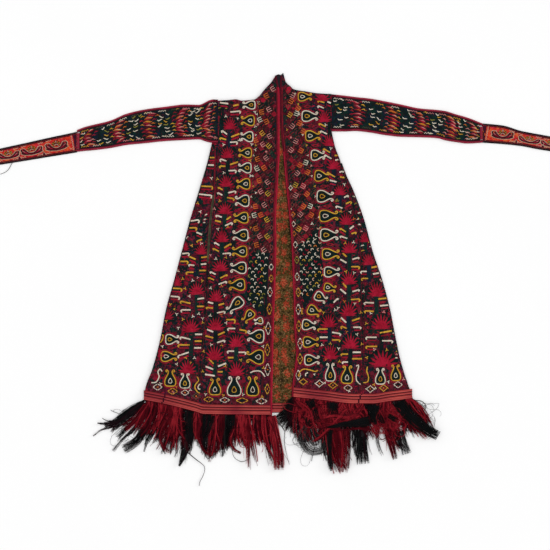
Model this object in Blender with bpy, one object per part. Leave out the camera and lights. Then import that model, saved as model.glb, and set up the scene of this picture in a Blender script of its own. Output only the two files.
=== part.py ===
"""A chyrpy, the embroidered Turkmen mantle, laid flat with its front up.

The origin is the middle of the garment's box, on the surface it lies on. +X is to the right as
it is seen, +Y is towards the neck and +Z is up. Sizes are in millimetres until MM makes them metres.
"""

import math

import bmesh
import bpy

MM = 0.001

# Cloth and the order in which it lies, from the surface up
SEAM = 0.3
BACK_CLOTH = 2.0
LINING_CLOTH = 1.0
LINING_TOP = BACK_CLOTH + SEAM + LINING_CLOTH
FRONT_CLOTH = 2.0
FRONT_TOP = 5.9
SIDE_DROP = 1.3
SIDE_DROP_WIDTH = 14.0

# Trims
EDGE_BINDING = 5.4
EDGE_BINDING_CLOTH = 2.4
EDGE_BINDING_CROWN = 0.4
BRAID = 32.0
BRAID_CLOTH = 1.3
INNER_BRAID = 31.0
INNER_BRAID_CLOTH = 1.2
INNER_BRAID_REACH = 60.0
INNER_BRAID_ABOVE_HEM = 2.0
LINING_LEVELS = [560, 480, 400, 300, 200, 100, 0, -100, -200, -300, -345, -370, -395]
LINING_TUCK = 45.0
# Near the hem the lining and its braid stop this far short of the right front's fringe
LINING_TRIM = 5.0
LINING_TRIM_RUN = 50.0
SLEEVE_BINDING = 9.0
SLEEVE_BINDING_CLOTH = 4.0
STRIP_BINDING = 6.0
STRIP_CLOTH = 2.8
STRIP_CROWN = 1.2
STRIP_STEPS = 15
STRIP_BINDING_ROLL = 2.0
STRIP_BINDING_EDGE = 2.0

# Sleeves, a front layer that lies on a back layer between the bindings
SLEEVE_CLOTH = 1.8
SLEEVE_TOP = 4.4
SLEEVE_EDGE_DROP = 0.3
SLEEVE_ACROSS = (0.0, 0.12, 0.3, 0.5, 0.7, 0.88, 1.0)
SLEEVE_STEPS = 20
END_SLACK = 1.5
# Across a sleeve's binding from its outer edge: share of its width, share of its height
BINDING_PROFILE = ((0.0, 0.75), (0.3, 1.0), (1.0, 1.0))
LEFT_ARMHOLE = -194.0
RIGHT_ARMHOLE = 192.5

# Body edges, rows of (y, x) from the hem up
LEFT_SIDE = [
    (-480, -446), (-425, -446), (-396, -443), (-372, -438), (-321, -418), (-219, -391), (-117, -371),
    (-15, -343), (87, -316), (189, -289), (291, -258), (393, -228), (451.5, -214.5),
]
LEFT_SEAM = [
    (-480, -258), (-437, -258), (-253, -251), (-83, -235), (121, -224), (223, -215), (291, -205),
    (430, -198.5), (451.5, LEFT_ARMHOLE),
]
RIGHT_SEAM = [
    (-480, 295), (-406, 296), (-83, 299), (121, 291), (189, 275.5), (284, 257), (342, 233), (382, 224),
    (393, 221), (439, 204), (490, RIGHT_ARMHOLE),
]
RIGHT_SIDE = [
    (-480, 475), (-422, 469), (-372, 453), (-321, 436), (-270, 422.5), (-168, 402), (-117, 392),
    (-15, 365), (87, 331), (189, 303.5), (291, 266), (342, 242.5), (393, 224),
]
# Middle of each front's edge binding, rows of (y, left x, right x) from the hem up
OPENING = [
    (-480, -12.6, 59), (-400, -11.5, 60), (-369, -11, 61.5), (-304, -9.5, 70), (-252, -8.5, 74),
    (-213, -7.5, 69), (-83, -3.4, 65.3), (0, -0.5, 62), (121, 2.4, 57), (189, 1, 51), (300, 6.6, 40),
    (420, 12.9, 29.2), (515, 13, 20.5), (600, 13.2, 18.9), (630, 12.5, 19.2), (651, 8, 20), (680, 2, 22),
]
# Shoulders and neck, rows of (x, y)
LEFT_TOP = [
    (-200, 594.3), (-160, 596.7), (-133, 599.4), (-113, 595), (-70, 599), (-52, 612.3), (-37, 631),
    (-13, 657), (5, 680), (20, 680),
]
RIGHT_TOP = [
    (15, 680), (29.6, 680), (32, 671), (38, 656), (52, 644), (64, 633), (109, 625.5), (144, 620), (196, 617),
]
# Hems, rows of (x, y)
LEFT_HEM = [
    (-450, -421), (-378, -435), (-320, -449), (-268, -462.7), (-243, -470), (-146, -471.6), (-5, -473.3),
]
RIGHT_HEM = [(50, -410.7), (165, -423.3), (275, -434.5), (330, -434.5), (386, -427), (475, -416)]
BACK_HEM = [
    (-450, -417), (-378, -431), (-320, -445), (-268, -458.5), (-243, -465.5), (-146, -467.5), (30, -467),
    (165, -450), (275, -445), (330, -441), (386, -432), (475, -419),
]
# The dip between the two peaks of the neck: from x, to x, depth
NECK_NOTCH = (5.0, 29.0, 8.0)

# Sleeves, rows of (x, lower edge y, upper edge y), from the hand end to the armhole
LEFT_SLEEVE = [
    (-674, 421, 495.5), (-649, 424, 505), (-625, 426, 511.5), (-563, 433.5, 526.5), (-504, 444.5, 551),
    (-447, 450, 564.5), (-374, 457.5, 574.5), (-304, 461.5, 582), (-258, 463.5, 581), (-240, 458, 588),
    (-225, 453.5, 596), (-210, 451.8, 599.5), (-194, 451.8, 599),
]
RIGHT_SLEEVE = [
    (192.5, 490.6, 617), (238, 490.5, 612.3), (271, 492, 608), (322, 487, 602.5), (378, 477.5, 592.5),
    (430, 472.2, 582), (491, 470.8, 569), (553, 467.5, 563.5), (579, 460.3, 560), (613, 454.5, 549.8),
    (657, 449.5, 536.8), (706.5, 452.2, 517.5),
]
# Strips past the sleeve ends, rows of (x, lower edge y, upper edge y)
LEFT_STRIP = [
    (-1020, 363.5, 414), (-935, 377, 432.5), (-850, 390.5, 451), (-765, 404.5, 470), (-674.3, 419, 489),
]
RIGHT_STRIP = [
    (706.8, 452.2, 517.7), (774, 447.5, 511), (839, 440.5, 492), (891, 430.5, 482), (935, 423.6, 474),
    (1020, 412.5, 457.5),
]

# Folds in the fronts, rows of (x0, y0, x1, y1, half width, height)
BODY_FOLDS = [
    (-180, 430, -95, 230, 26, 3.2),
    (-215, 60, -245, -330, 20, 2.4),
    (-150, 20, -165, -560, 30, 3.0),
    (-70, -160, -80, -560, 26, 2.2),
    (-330, -60, -372, -540, 26, 3.2),
    (-410, -240, -430, -520, 18, 2.2),
    (180, 470, 95, 250, 24, 3.0),
    (320, 60, 372, -540, 26, 3.0),
    (225, -40, 232, -540, 28, 2.8),
    (140, -120, 140, -540, 24, 2.2),
    (420, -200, 440, -520, 18, 2.0),
    (-58, 590, -5, 655, 15, 2.0),
    (34, 650, 110, 600, 15, 2.0),
]
# Height that the right front's edge stands above the lining, rows of (y, height)
EDGE_LIFT = [
    (-480, 0), (-400, 1), (-330, 5.5), (-200, 7), (-60, 5), (90, 6), (200, 4), (330, 1.5), (430, 0), (700, 0),
]
EDGE_LIFT_WIDTH = 30.0
# Folds along the sleeves, in the same columns as the body's
SLEEVE_FOLDS = [
    (-215, 560, -330, 545, 12, 2.4),
    (-215, 500, -400, 500, 12, 2.2),
    (-400, 525, -610, 480, 12, 1.8),
    (215, 585, 360, 560, 12, 2.2),
    (210, 525, 400, 510, 12, 2.2),
    (420, 540, 650, 495, 12, 1.8),
]

# Fringe. A lock is a flat bundle of threads; a row is one group of locks side by side
STRIP_DEPTH = 5.0
FRINGE_SEAM = 0.6
ROOT_CLOTH = 1.2
ROOT_LAYER_GAP = 0.8
BARE_PIECE = 10.0
LOCK_CLOTH = 1.4
LEVEL_HEIGHT = (1.15, 2.95, 4.8, 6.6, 8.4)
# All levels sink by the same share from this y down to the lowest tips
SINK_FROM = -400.0
SINK_TO = -680.0
LEVEL_SINK = 0.2
# A lock leaves its root for its level within this drop, then goes on in these shares of its length
ROOT_DROP = 8.0
LOCK_STATIONS = (0.38, 0.7, 1.0)
LOCK_GAP = 0.13
RAGGED = 0.1
# Columns: root from x, root to x, tip from x, y, tip to x, y, sideways bow,
# share of the length that it drops before it bends, level, locks
LEFT_CRIMSON = [
    (-436, -366, -490, -540, -412, -566, -10, 0.45, 3, 7),
    (-366, -330, -402, -588, -337, -612, 0, 0.45, 3, 5),
    (-330, -313, -296, -608, -282, -612, -8, 0.5, 4, 2),
    (-279, -245, -274, -560, -256, -575, -6, 0.5, 3, 3),
    (-214, -173, -229, -634, -197, -638, -4, 0.5, 3, 4),
    (-136, -100, -152, -600, -68, -590, 0, 0.4, 3, 6),
    (-100, -93, -88, -664, -80, -668, 0, 0.5, 4, 1),
    (-92, -85, -61, -645, -53, -648, 0, 0.5, 4, 1),
    (-74, -50, -61, -580, -26, -582, 0, 0.5, 3, 3),
    (-47, -11, -7, -655, 31, -660, 6, 0.5, 4, 6),
]
LEFT_BLACK = [
    (-445, -436, -598, -515, -562, -538, -62, 0.2, 2, 3),
    (-436, -412, -548, -545, -515, -585, -28, 0.3, 1, 3),
    (-412, -385, -512, -598, -478, -612, -15, 0.35, 2, 3),
    (-385, -360, -450, -600, -434, -606, -8, 0.4, 1, 2),
    (-360, -318, -390, -607, -336, -622, 0, 0.45, 2, 4),
    (-316, -272, -322, -648, -282, -612, 0, 0.5, 1, 4),
    (-272, -214, -240, -610, -209, -636, 0, 0.5, 2, 5),
    (-214, -140, -205, -628, -150, -608, 0, 0.5, 1, 5),
    (-140, -50, -140, -575, -50, -578, 0, 0.5, 2, 6),
    (-50, -11, -38, -585, 5, -600, 0, 0.5, 1, 3),
]
RIGHT_CRIMSON = [
    (62, 98, 60, -545, 118, -575, -12, 0.45, 3, 5),
    (98, 139, 122, -570, 175, -535, 0, 0.5, 4, 5),
    (139, 174, 136, -490, 184, -495, 0, 0.5, 3, 4),
    (174, 214, 203, -686.46, 262, -650, -6, 0.5, 3, 5),
    (214, 303, 190, -528, 312, -522, 0, 0.5, 4, 9),
    (360, 385, 347, -528, 395, -540, -8, 0.5, 4, 4),
    (385, 398, 398, -610, 416, -616, 0, 0.5, 3, 3),
    (438, 452, 442, -560, 520, -550, -5, 0.35, 3, 4),
    (452, 467, 527, -520, 551, -541, 40, 0.2, 4, 3),
]
RIGHT_BLACK = [
    (62, 80, 20, -497, 66, -540, -22, 0.2, 2, 4),
    (80, 139, 92, -580, 170, -588, 0, 0.45, 1, 5),
    (139, 214, 178, -655, 210, -665, 0, 0.5, 2, 5),
    (214, 262, 215, -640, 268, -620, 0, 0.5, 1, 4),
    (262, 309, 276, -645, 318, -632, 0, 0.5, 2, 4),
    (309, 360, 318, -505, 350, -525, 0, 0.5, 1, 4),
    (360, 398, 420, -600, 456, -610, 0, 0.5, 2, 4),
    (398, 438, 470, -560, 548, -535, 12, 0.35, 1, 5),
    (438, 467, 510, -520, 549, -532, 28, 0.25, 2, 3),
]
BACK_FRINGE = [
    (-436, -340, -470, -560, -360, -575, 0, 0.4, 0, 6),
    (-330, -230, -330, -566, -236, -566, 0, 0.5, 0, 6),
    (-220, -120, -225, -590, -130, -585, 0, 0.5, 0, 5),
    (-110, -20, -110, -560, -30, -560, 0, 0.5, 0, 5),
    (34, 60, 30, -500, 62, -530, -4, 0.4, 0, 2),
    (70, 160, 80, -545, 160, -550, 0, 0.5, 0, 5),
    (170, 300, 190, -620, 300, -610, 0, 0.5, 0, 7),
    (310, 380, 315, -505, 352, -515, 0, 0.5, 0, 3),
    (385, 460, 405, -560, 500, -545, 8, 0.4, 0, 4),
]

# Columns across each panel, as shares of its width, and rows down it between its knots
FRONT_SHARES = (0.0, 0.1, 0.22, 0.31, 0.4, 0.52, 0.64, 0.72, 0.8, 0.9, 1.0)
GORE_SHARES = (0.0, 0.08, 0.3, 0.55, 0.78, 1.0)
BACK_SHARES = [k / 14 for k in range(15)]
BACK_GORE_SHARES = (0.0, 0.5, 1.0)
UPPER_ROWS = 3
LOWER_ROWS = 15
LEFT_ARM_LEVEL = 520.0
RIGHT_ARMPIT = 490.2
LEFT_GORE_TOP = 451.3
RIGHT_GORE_TOP = 382.0

# Colours, in linear light
GROUND_SILK = (0.012, 0.016, 0.020)
PLAIN_BACK = (0.020, 0.018, 0.022)
CRIMSON = (0.260, 0.012, 0.030)
DARK_CRIMSON = (0.130, 0.010, 0.028)
BRAID_RED = (0.480, 0.070, 0.060)
STRIP_ORANGE = (0.560, 0.070, 0.025)
STRIP_EDGE = (0.018, 0.008, 0.010)
LINING_BROWN = (0.150, 0.080, 0.030)
FRINGE_BLACK = (0.010, 0.010, 0.012)


def mix(a, b, t):
    return a + (b - a) * t


def curve_value(rows, at, column=1):
    """A smooth curve through the rows, which rise in their first column. It never swings past a row."""
    if at <= rows[0][0]:
        return rows[0][column]
    if at >= rows[-1][0]:
        return rows[-1][column]
    i = 0
    while rows[i + 1][0] < at:
        i += 1

    def slope(k):
        return (rows[k + 1][column] - rows[k][column]) / (rows[k + 1][0] - rows[k][0])

    def tangent(k):
        if k == 0:
            return slope(0)
        if k == len(rows) - 1:
            return slope(k - 1)
        before = slope(k - 1)
        after = slope(k)
        if before * after <= 0:
            return 0.0
        return 2 * before * after / (before + after)

    width = rows[i + 1][0] - rows[i][0]
    t = (at - rows[i][0]) / width
    start = (1 + 2 * t) * (1 - t) ** 2 * rows[i][column]
    end = t * t * (3 - 2 * t) * rows[i + 1][column]
    lean_in = t * (1 - t) ** 2 * width * tangent(i)
    lean_out = t * t * (t - 1) * width * tangent(i + 1)
    return start + end + lean_in + lean_out


def smooth_step(t):
    t = min(max(t, 0.0), 1.0)
    return t * t * (3 - 2 * t)


def fold_height(folds, x, y):
    """How far soft ridges lift the cloth at a point."""
    lift = 0.0
    for x0, y0, x1, y1, half_width, height in folds:
        along_x = x1 - x0
        along_y = y1 - y0
        t = ((x - x0) * along_x + (y - y0) * along_y) / (along_x**2 + along_y**2)
        t = min(max(t, 0.0), 1.0)
        away = math.hypot(x - x0 - t * along_x, y - y0 - t * along_y)
        lift += height * math.exp(-((away / half_width) ** 2)) * math.sin(math.pi * t) ** 0.5
    return lift


def front_height(x, y):
    """Top of the fronts' cloth above the surface that the garment lies on."""
    from_edge = x - curve_value(OPENING, y, 2)
    edge = curve_value(EDGE_LIFT, y) * math.exp(-((from_edge / EDGE_LIFT_WIDTH) ** 2))
    if from_edge < -EDGE_BINDING:
        edge = 0.0
    return FRONT_TOP + fold_height(BODY_FOLDS, x, y) + edge


def side_drop(inward, y, hem):
    """How far a front comes down towards the back within a few millimetres of the body's outline."""
    away_from_hem = smooth_step((y - hem - BRAID) / BRAID)
    return SIDE_DROP * (1 - smooth_step(inward / SIDE_DROP_WIDTH)) * away_from_hem


def principled(name, colour, roughness):
    material = bpy.data.materials.new(name)
    material.use_nodes = True
    shader = material.node_tree.nodes["Principled BSDF"]
    shader.inputs["Base Color"].default_value = (*colour, 1.0)
    shader.inputs["Roughness"].default_value = roughness
    shader.inputs["Metallic"].default_value = 0.0
    material.diffuse_color = (*colour, 1.0)
    return material


def add_object(name, bm, colour, roughness=0.7):
    """Gives a finished form its name, its own material and its place in the garment's collection."""
    bmesh.ops.recalc_face_normals(bm, faces=bm.faces[:])
    mesh = bpy.data.meshes.new(name)
    bm.to_mesh(mesh)
    bm.free()
    mesh.materials.append(principled(name, colour, roughness))
    mesh.shade_smooth()
    mesh.set_sharp_from_angle(angle=math.radians(40))
    obj = bpy.data.objects.new(name, mesh)
    GARMENT.objects.link(obj)
    return obj


def grid_sheet(bm, points):
    """Adds a grid of quads moved onto rows of points. Returns its vertices, row by row."""
    across = len(points[0])
    made = bmesh.ops.create_grid(bm, x_segments=across - 1, y_segments=len(points) - 1, size=1.0)
    vertices = made["verts"]
    for k, vertex in enumerate(vertices):
        x, y, z = points[k // across][k % across]
        vertex.co = (x * MM, y * MM, z * MM)
    return vertices


def cloth_wall(name, points, thickness, colour, roughness=0.7):
    """A piece of cloth whose outer side goes through the points, with its other side straight below."""
    bm = bmesh.new()
    grid_sheet(bm, points)
    made = bmesh.ops.extrude_face_region(bm, geom=bm.faces[:])
    lowered = [item for item in made["geom"] if isinstance(item, bmesh.types.BMVert)]
    bmesh.ops.translate(bm, vec=(0, 0, -thickness * MM), verts=lowered)
    return add_object(name, bm, colour, roughness)


def straight_wall(name, points, colour, roughness=0.7):
    """A piece whose underside is flat on the surface, whatever its top does."""
    bm = bmesh.new()
    grid_sheet(bm, points)
    made = bmesh.ops.extrude_face_region(bm, geom=bm.faces[:])
    for item in made["geom"]:
        if isinstance(item, bmesh.types.BMVert):
            item.co.z = 0.0
    add_object(name, bm, colour, roughness)


def meet(edge_y, left_x, right_x, share):
    """The y at which a column, at this share of the way across a panel, meets its top or hem line."""
    y = edge_y(0.0)
    for _ in range(12):
        y = edge_y(mix(left_x(y), right_x(y), share))
    return y


def panel_points(shares, left_x, right_x, top_y, hem_y, height, knots=()):
    """Rows of points down a panel. The last rows follow the hem, so that a braid can lie on them.

    Each knot gives a level that a row passes through at each share: the armpit's, then the top of
    the gore. The rows below that match the gore's own, so that the seam keeps its gap all the way.
    """
    columns = []
    for share in shares:
        top = meet(top_y, left_x, right_x, share)
        hem = meet(hem_y, left_x, right_x, share)
        levels = []
        upper = top
        for knot in knots:
            levels += [mix(upper, knot(share), k / UPPER_ROWS) for k in range(UPPER_ROWS)]
            upper = knot(share)
        levels += [mix(upper, hem + BRAID, k / LOWER_ROWS) for k in range(LOWER_ROWS + 1)]
        levels += [hem + BRAID / 2, hem]
        column = []
        for y in levels:
            x = mix(left_x(y), right_x(y), share)
            column.append((x, y, height(x, y, share, top, hem)))
        columns.append(column)
    return [[column[k] for column in columns] for k in range(len(columns[0]))]


# Edges of the panels, each stopping half a seam short of its neighbour


def left_seam(y):
    """The left front's side: its seam to the gore, then the armhole."""
    return curve_value(LEFT_SEAM, y)


def right_seam(y):
    return curve_value(RIGHT_SEAM, y)


def left_edge(y):
    return curve_value(OPENING, y, 1) - EDGE_BINDING / 2 - SEAM


def right_edge(y):
    return curve_value(OPENING, y, 2) + EDGE_BINDING / 2 + SEAM


def left_hem(x):
    return curve_value(LEFT_HEM, x)


def right_hem(x):
    return curve_value(RIGHT_HEM, x)


def back_hem(x):
    return curve_value(BACK_HEM, x)


def top_line(x):
    """The shoulders and the neck across the whole back, with the notch between the two peaks."""
    left, right, depth = NECK_NOTCH
    if x < left:
        return curve_value(LEFT_TOP, x)
    if x > right:
        return curve_value(RIGHT_TOP, x)
    return LEFT_TOP[-1][1] - depth * math.sin(math.pi * (x - left) / (right - left)) ** 2


def main_height(x, y, share, top, hem):
    return front_height(x, y) - side_drop(top - y, y, hem)


def gore_height_left(x, y, share, top, hem):
    return front_height(x, y) - side_drop(x - curve_value(LEFT_SIDE, y), y, hem)


def gore_height_right(x, y, share, top, hem):
    return front_height(x, y) - side_drop(curve_value(RIGHT_SIDE, y) - x, y, hem)


def front_panels():
    """The two fronts and their gores. Each set of points runs from left to right, row by row."""
    left = panel_points(
        FRONT_SHARES, lambda y: left_seam(y) + SEAM / 2, left_edge,
        lambda x: curve_value(LEFT_TOP, x), left_hem, main_height,
        (lambda share: LEFT_ARM_LEVEL, lambda share: LEFT_GORE_TOP),
    )
    left_gore = panel_points(
        GORE_SHARES, lambda y: curve_value(LEFT_SIDE, y), lambda y: left_seam(y) - SEAM / 2,
        lambda x: LEFT_GORE_TOP, left_hem, gore_height_left,
    )
    right = panel_points(
        [1 - share for share in reversed(FRONT_SHARES)],
        right_edge, lambda y: right_seam(y) - SEAM / 2,
        lambda x: curve_value(RIGHT_TOP, x), right_hem, main_height,
        (lambda share: RIGHT_ARMPIT, lambda share: RIGHT_GORE_TOP),
    )
    right_gore = panel_points(
        [1 - share for share in reversed(GORE_SHARES)],
        lambda y: right_seam(y) + SEAM / 2, lambda y: curve_value(RIGHT_SIDE, y),
        lambda x: RIGHT_GORE_TOP, right_hem, gore_height_right,
    )
    cloth_wall("front_left", left, FRONT_CLOTH, GROUND_SILK)
    cloth_wall("front_left_gore", left_gore, FRONT_CLOTH, GROUND_SILK)
    cloth_wall("front_right", right, FRONT_CLOTH, GROUND_SILK)
    cloth_wall("front_right_gore", right_gore, FRONT_CLOTH, GROUND_SILK)
    return left, left_gore, right, right_gore


def hem_braid(name, rows):
    """A braid that lies on a front's last rows of points, moved out."""
    lifted = [[(x, y, z + SEAM + BRAID_CLOTH) for x, y, z in row] for row in rows]
    cloth_wall(name, lifted, BRAID_CLOTH, BRAID_RED)


def edge_binding(name, column, levels):
    """The narrow binding down a front's edge, at the levels of the front's own rows."""
    rows = []
    for y in levels:
        middle = curve_value(OPENING, y, column)
        row = []
        for part in (-0.5, 0.0, 0.5):
            crown = EDGE_BINDING_CROWN if part == 0 else 0.0
            row.append((middle + part * EDGE_BINDING, y, front_height(middle, y) + crown))
        rows.append(row)
    cloth_wall(name, rows, EDGE_BINDING_CLOTH, CRIMSON)


def back_pieces():
    """The back's centre panel and gores lie flat on the surface. Returns the line of their hem."""

    def flat(x, y, share, top, hem):
        return BACK_CLOTH

    centre = panel_points(
        BACK_SHARES, lambda y: left_seam(y) + SEAM / 2, lambda y: right_seam(y) - SEAM / 2,
        top_line, back_hem, flat,
        (lambda share: mix(LEFT_ARM_LEVEL, RIGHT_ARMPIT, share),
         lambda share: mix(LEFT_GORE_TOP, RIGHT_GORE_TOP, share)),
    )
    left = panel_points(
        BACK_GORE_SHARES, lambda y: curve_value(LEFT_SIDE, y), lambda y: left_seam(y) - SEAM / 2,
        lambda x: LEFT_GORE_TOP, back_hem, flat,
    )
    right = panel_points(
        BACK_GORE_SHARES, lambda y: right_seam(y) + SEAM / 2,
        lambda y: curve_value(RIGHT_SIDE, y), lambda x: RIGHT_GORE_TOP, back_hem, flat,
    )
    cloth_wall("back_panel", centre, BACK_CLOTH, PLAIN_BACK, 0.85)
    cloth_wall("back_gore_left", left, BACK_CLOTH, PLAIN_BACK, 0.85)
    cloth_wall("back_gore_right", right, BACK_CLOTH, PLAIN_BACK, 0.85)
    return hem_line_of(left[-1] + centre[-1] + right[-1])


def hem_line_of(points):
    """The straight runs between a hem's points, as y at each x."""

    def line(x):
        for (x0, y0, _), (x1, y1, _) in zip(points, points[1:]):
            if x <= x1 or x1 == points[-1][0]:
                return mix(y0, y1, (x - x0) / (x1 - x0))

    return line


def back_inside():
    """What shows between the fronts: the printed lining and the braid inside the back's hem."""
    middle = (curve_value(OPENING, BACK_HEM[0][1], 1) + curve_value(OPENING, BACK_HEM[0][1], 2)) / 2
    braid_top = back_hem(middle) + INNER_BRAID + INNER_BRAID_ABOVE_HEM
    rows = []
    for y in LINING_LEVELS + [braid_top + SEAM]:
        left = curve_value(OPENING, y, 1) - LINING_TUCK
        clear_of_fringe = smooth_step((y - LINING_LEVELS[-1]) / LINING_TRIM_RUN)
        right = curve_value(OPENING, y, 2) + mix(-LINING_TRIM, LINING_TUCK, clear_of_fringe)
        rows.append([(mix(left, right, part / 4), y, LINING_TOP) for part in range(5)])
    cloth_wall("back_lining", rows, LINING_CLOTH, LINING_BROWN, 0.85)
    braid = []
    for down in (0.0, 0.5, 1.0):
        line = []
        for part in range(5):
            x = mix(-INNER_BRAID_REACH, INNER_BRAID_REACH - LINING_TRIM, part / 4)
            line.append((x, braid_top - INNER_BRAID * down, BACK_CLOTH + SEAM + INNER_BRAID_CLOTH))
        braid.append(line)
    cloth_wall("hem_band_back", braid, INNER_BRAID_CLOTH, BRAID_RED)


def sleeve_stations(rows):
    """Places along a sleeve, the same for the tube and its bindings. The first is at the hand end."""
    hand, armhole = (rows[0][0], rows[-1][0]) if rows[0][0] < 0 else (rows[-1][0], rows[0][0])
    inward = 1 if hand < 0 else -1
    first = hand + inward * (SLEEVE_BINDING + SEAM)
    last = armhole - inward * SEAM / 2
    return [hand + inward * SEAM / 2] + [mix(first, last, k / SLEEVE_STEPS) for k in range(SLEEVE_STEPS + 1)]


def sleeve(side, rows):
    """The sleeve's front layer over its back layer, both between the two long bindings."""
    inset = SLEEVE_BINDING + SEAM
    front = []
    back = []
    for x in sleeve_stations(rows)[1:]:
        low = curve_value(rows, x, 1) + inset
        high = curve_value(rows, x, 2) - inset
        line = []
        for share in SLEEVE_ACROSS:
            y = mix(low, high, share)
            drop = SLEEVE_EDGE_DROP if share in (0, 1) else 0.0
            line.append((x, y, SLEEVE_TOP - drop + fold_height(SLEEVE_FOLDS, x, y)))
        front.append(line)
        back.append([(x, low, SLEEVE_CLOTH), (x, high, SLEEVE_CLOTH)])
    cloth_wall(f"sleeve_{side}_front", front, SLEEVE_CLOTH, GROUND_SILK)
    cloth_wall(f"sleeve_{side}_back", back, SLEEVE_CLOTH, GROUND_SILK)


def sleeve_bindings(side, rows):
    """The bindings along the sleeve's two folded edges and across its hand end."""
    stations = sleeve_stations(rows)
    for place, column, inward in (("bottom", 1, 1), ("top", 2, -1)):
        points = []
        for x in stations:
            edge = curve_value(rows, x, column)
            points.append([(x, edge + inward * part * SLEEVE_BINDING, rise * SLEEVE_BINDING_CLOTH)
                           for part, rise in BINDING_PROFILE])
        straight_wall(f"sleeve_{side}_binding_{place}", points, DARK_CRIMSON)
    end = stations[0]
    near = 1 if end < 0 else -1
    low = curve_value(rows, end, 1) + SLEEVE_BINDING + SEAM + END_SLACK
    high = curve_value(rows, end, 2) - SLEEVE_BINDING - SEAM - END_SLACK
    points = []
    across = [(end + near * part * (SLEEVE_BINDING - SEAM), rise * SLEEVE_BINDING_CLOTH)
              for part, rise in BINDING_PROFILE]
    for k in range(5):
        points.append([(x, mix(low, high, k / 4), z) for x, z in across])
    straight_wall(f"sleeve_{side}_binding_end", points, DARK_CRIMSON)


def end_strip(side, rows):
    """The orange strip past a sleeve's end, padded a little, with a dark binding along each long edge."""
    stations = [mix(rows[0][0], rows[-1][0], k / (STRIP_STEPS - 1)) for k in range(STRIP_STEPS)]
    inset = STRIP_BINDING + SEAM
    body = []
    for x in stations:
        low = curve_value(rows, x, 1) + inset
        high = curve_value(rows, x, 2) - inset
        line = []
        for part in range(5):
            crown = STRIP_CROWN * math.sin(math.pi * part / 4)
            line.append((x, mix(low, high, part / 4), STRIP_CLOTH + crown))
        body.append(line)
    straight_wall(f"strip_{side}", body, STRIP_ORANGE)
    for place, column, inward in (("bottom", 1, 1), ("top", 2, -1)):
        points = []
        for x in stations:
            edge = curve_value(rows, x, column)
            points.append([
                (x, edge, STRIP_BINDING_EDGE),
                (x, edge + inward * STRIP_BINDING_ROLL, STRIP_CLOTH),
                (x, edge + inward * STRIP_BINDING, STRIP_CLOTH),
            ])
        straight_wall(f"strip_{side}_binding_{place}", points, STRIP_EDGE)


def ragged(k):
    """A repeatable share, different for each lock; the first is nought."""
    return abs(math.sin(k * 12.9898) * 43.758) % 1.0


def strand_point(row, hem_line, across, along):
    """The place of a strand, from the share across its row of locks and the share of its length."""
    root_from, root_to, x0, y0, x1, y1, bow, drop, _, _ = row
    root_x = mix(root_from, root_to, across)
    root_y = hem_line(root_x) - FRINGE_SEAM - STRIP_DEPTH
    tip_x = mix(x0, x1, across)
    tip_y = mix(y0, y1, across)
    length = math.hypot(tip_x - root_x, tip_y - root_y)
    bend_x = root_x + bow
    bend_y = root_y - drop * length
    a = (1 - along) ** 2
    b = 2 * along * (1 - along)
    c = along**2
    return a * root_x + b * bend_x + c * tip_x, a * root_y + b * bend_y + c * tip_y


def near_root(row, hem_line, across):
    """The share of a strand's length at which it has come down from its root by ROOT_DROP."""
    goal = strand_point(row, hem_line, across, 0.0)[1] - ROOT_DROP
    low = 0.0
    high = 1.0
    for _ in range(20):
        middle = (low + high) / 2
        if strand_point(row, hem_line, across, middle)[1] > goal:
            low = middle
        else:
            high = middle
    return low


def level_share(y):
    """How much of its height above the surface each level keeps at this y."""
    return 1 - LEVEL_SINK * max(SINK_FROM - y, 0.0) / (SINK_FROM - SINK_TO)


def fringe(name, rows, hem_line, strip_top, colour):
    """A narrow strip parted from the hem, with its locks drawn out of its lower side."""
    cuts = [rows[0][0]]
    owners = []
    for row in rows:
        locks = row[-1]
        bare = row[0] - cuts[-1]
        pieces = math.ceil(bare / BARE_PIECE)
        start = cuts[-1]
        for i in range(pieces):
            owners.append(None)
            cuts.append(mix(start, row[0], (i + 1) / pieces))
        for i in range(locks):
            owners.append((row, i))
            cuts.append(mix(row[0], row[1], (i + 1) / locks))
    points = []
    for y_step in (1, 0):
        line = []
        for x in cuts:
            y = hem_line(x) - FRINGE_SEAM - STRIP_DEPTH * y_step
            line.append((x, y, strip_top(x)))
        points.append(line)
    bm = bmesh.new()
    grid_sheet(bm, points)
    made = bmesh.ops.extrude_face_region(bm, geom=bm.faces[:])
    for item in made["geom"]:
        if isinstance(item, bmesh.types.BMVert):
            item.co.z -= ROOT_CLOTH * MM
    bm.faces.ensure_lookup_table()
    roots = {}
    for face in bm.faces:
        centre = face.calc_center_median()
        if abs(face.normal.z) > 0.5:
            continue
        for k, owner in enumerate(owners):
            x = (cuts[k] + cuts[k + 1]) / 2
            y = hem_line(x) - FRINGE_SEAM - STRIP_DEPTH
            if owner and abs(centre.x / MM - x) < 0.2 and abs(centre.y / MM - y) < 1.5:
                roots[k] = face
    count = 0
    for k, owner in enumerate(owners):
        if owner is None:
            continue
        row, i = owner
        draw_lock(bm, roots[k], row, i, hem_line, 1 - RAGGED * ragged(count))
        count += 1
    add_object(name, bm, colour, 0.55)


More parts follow.
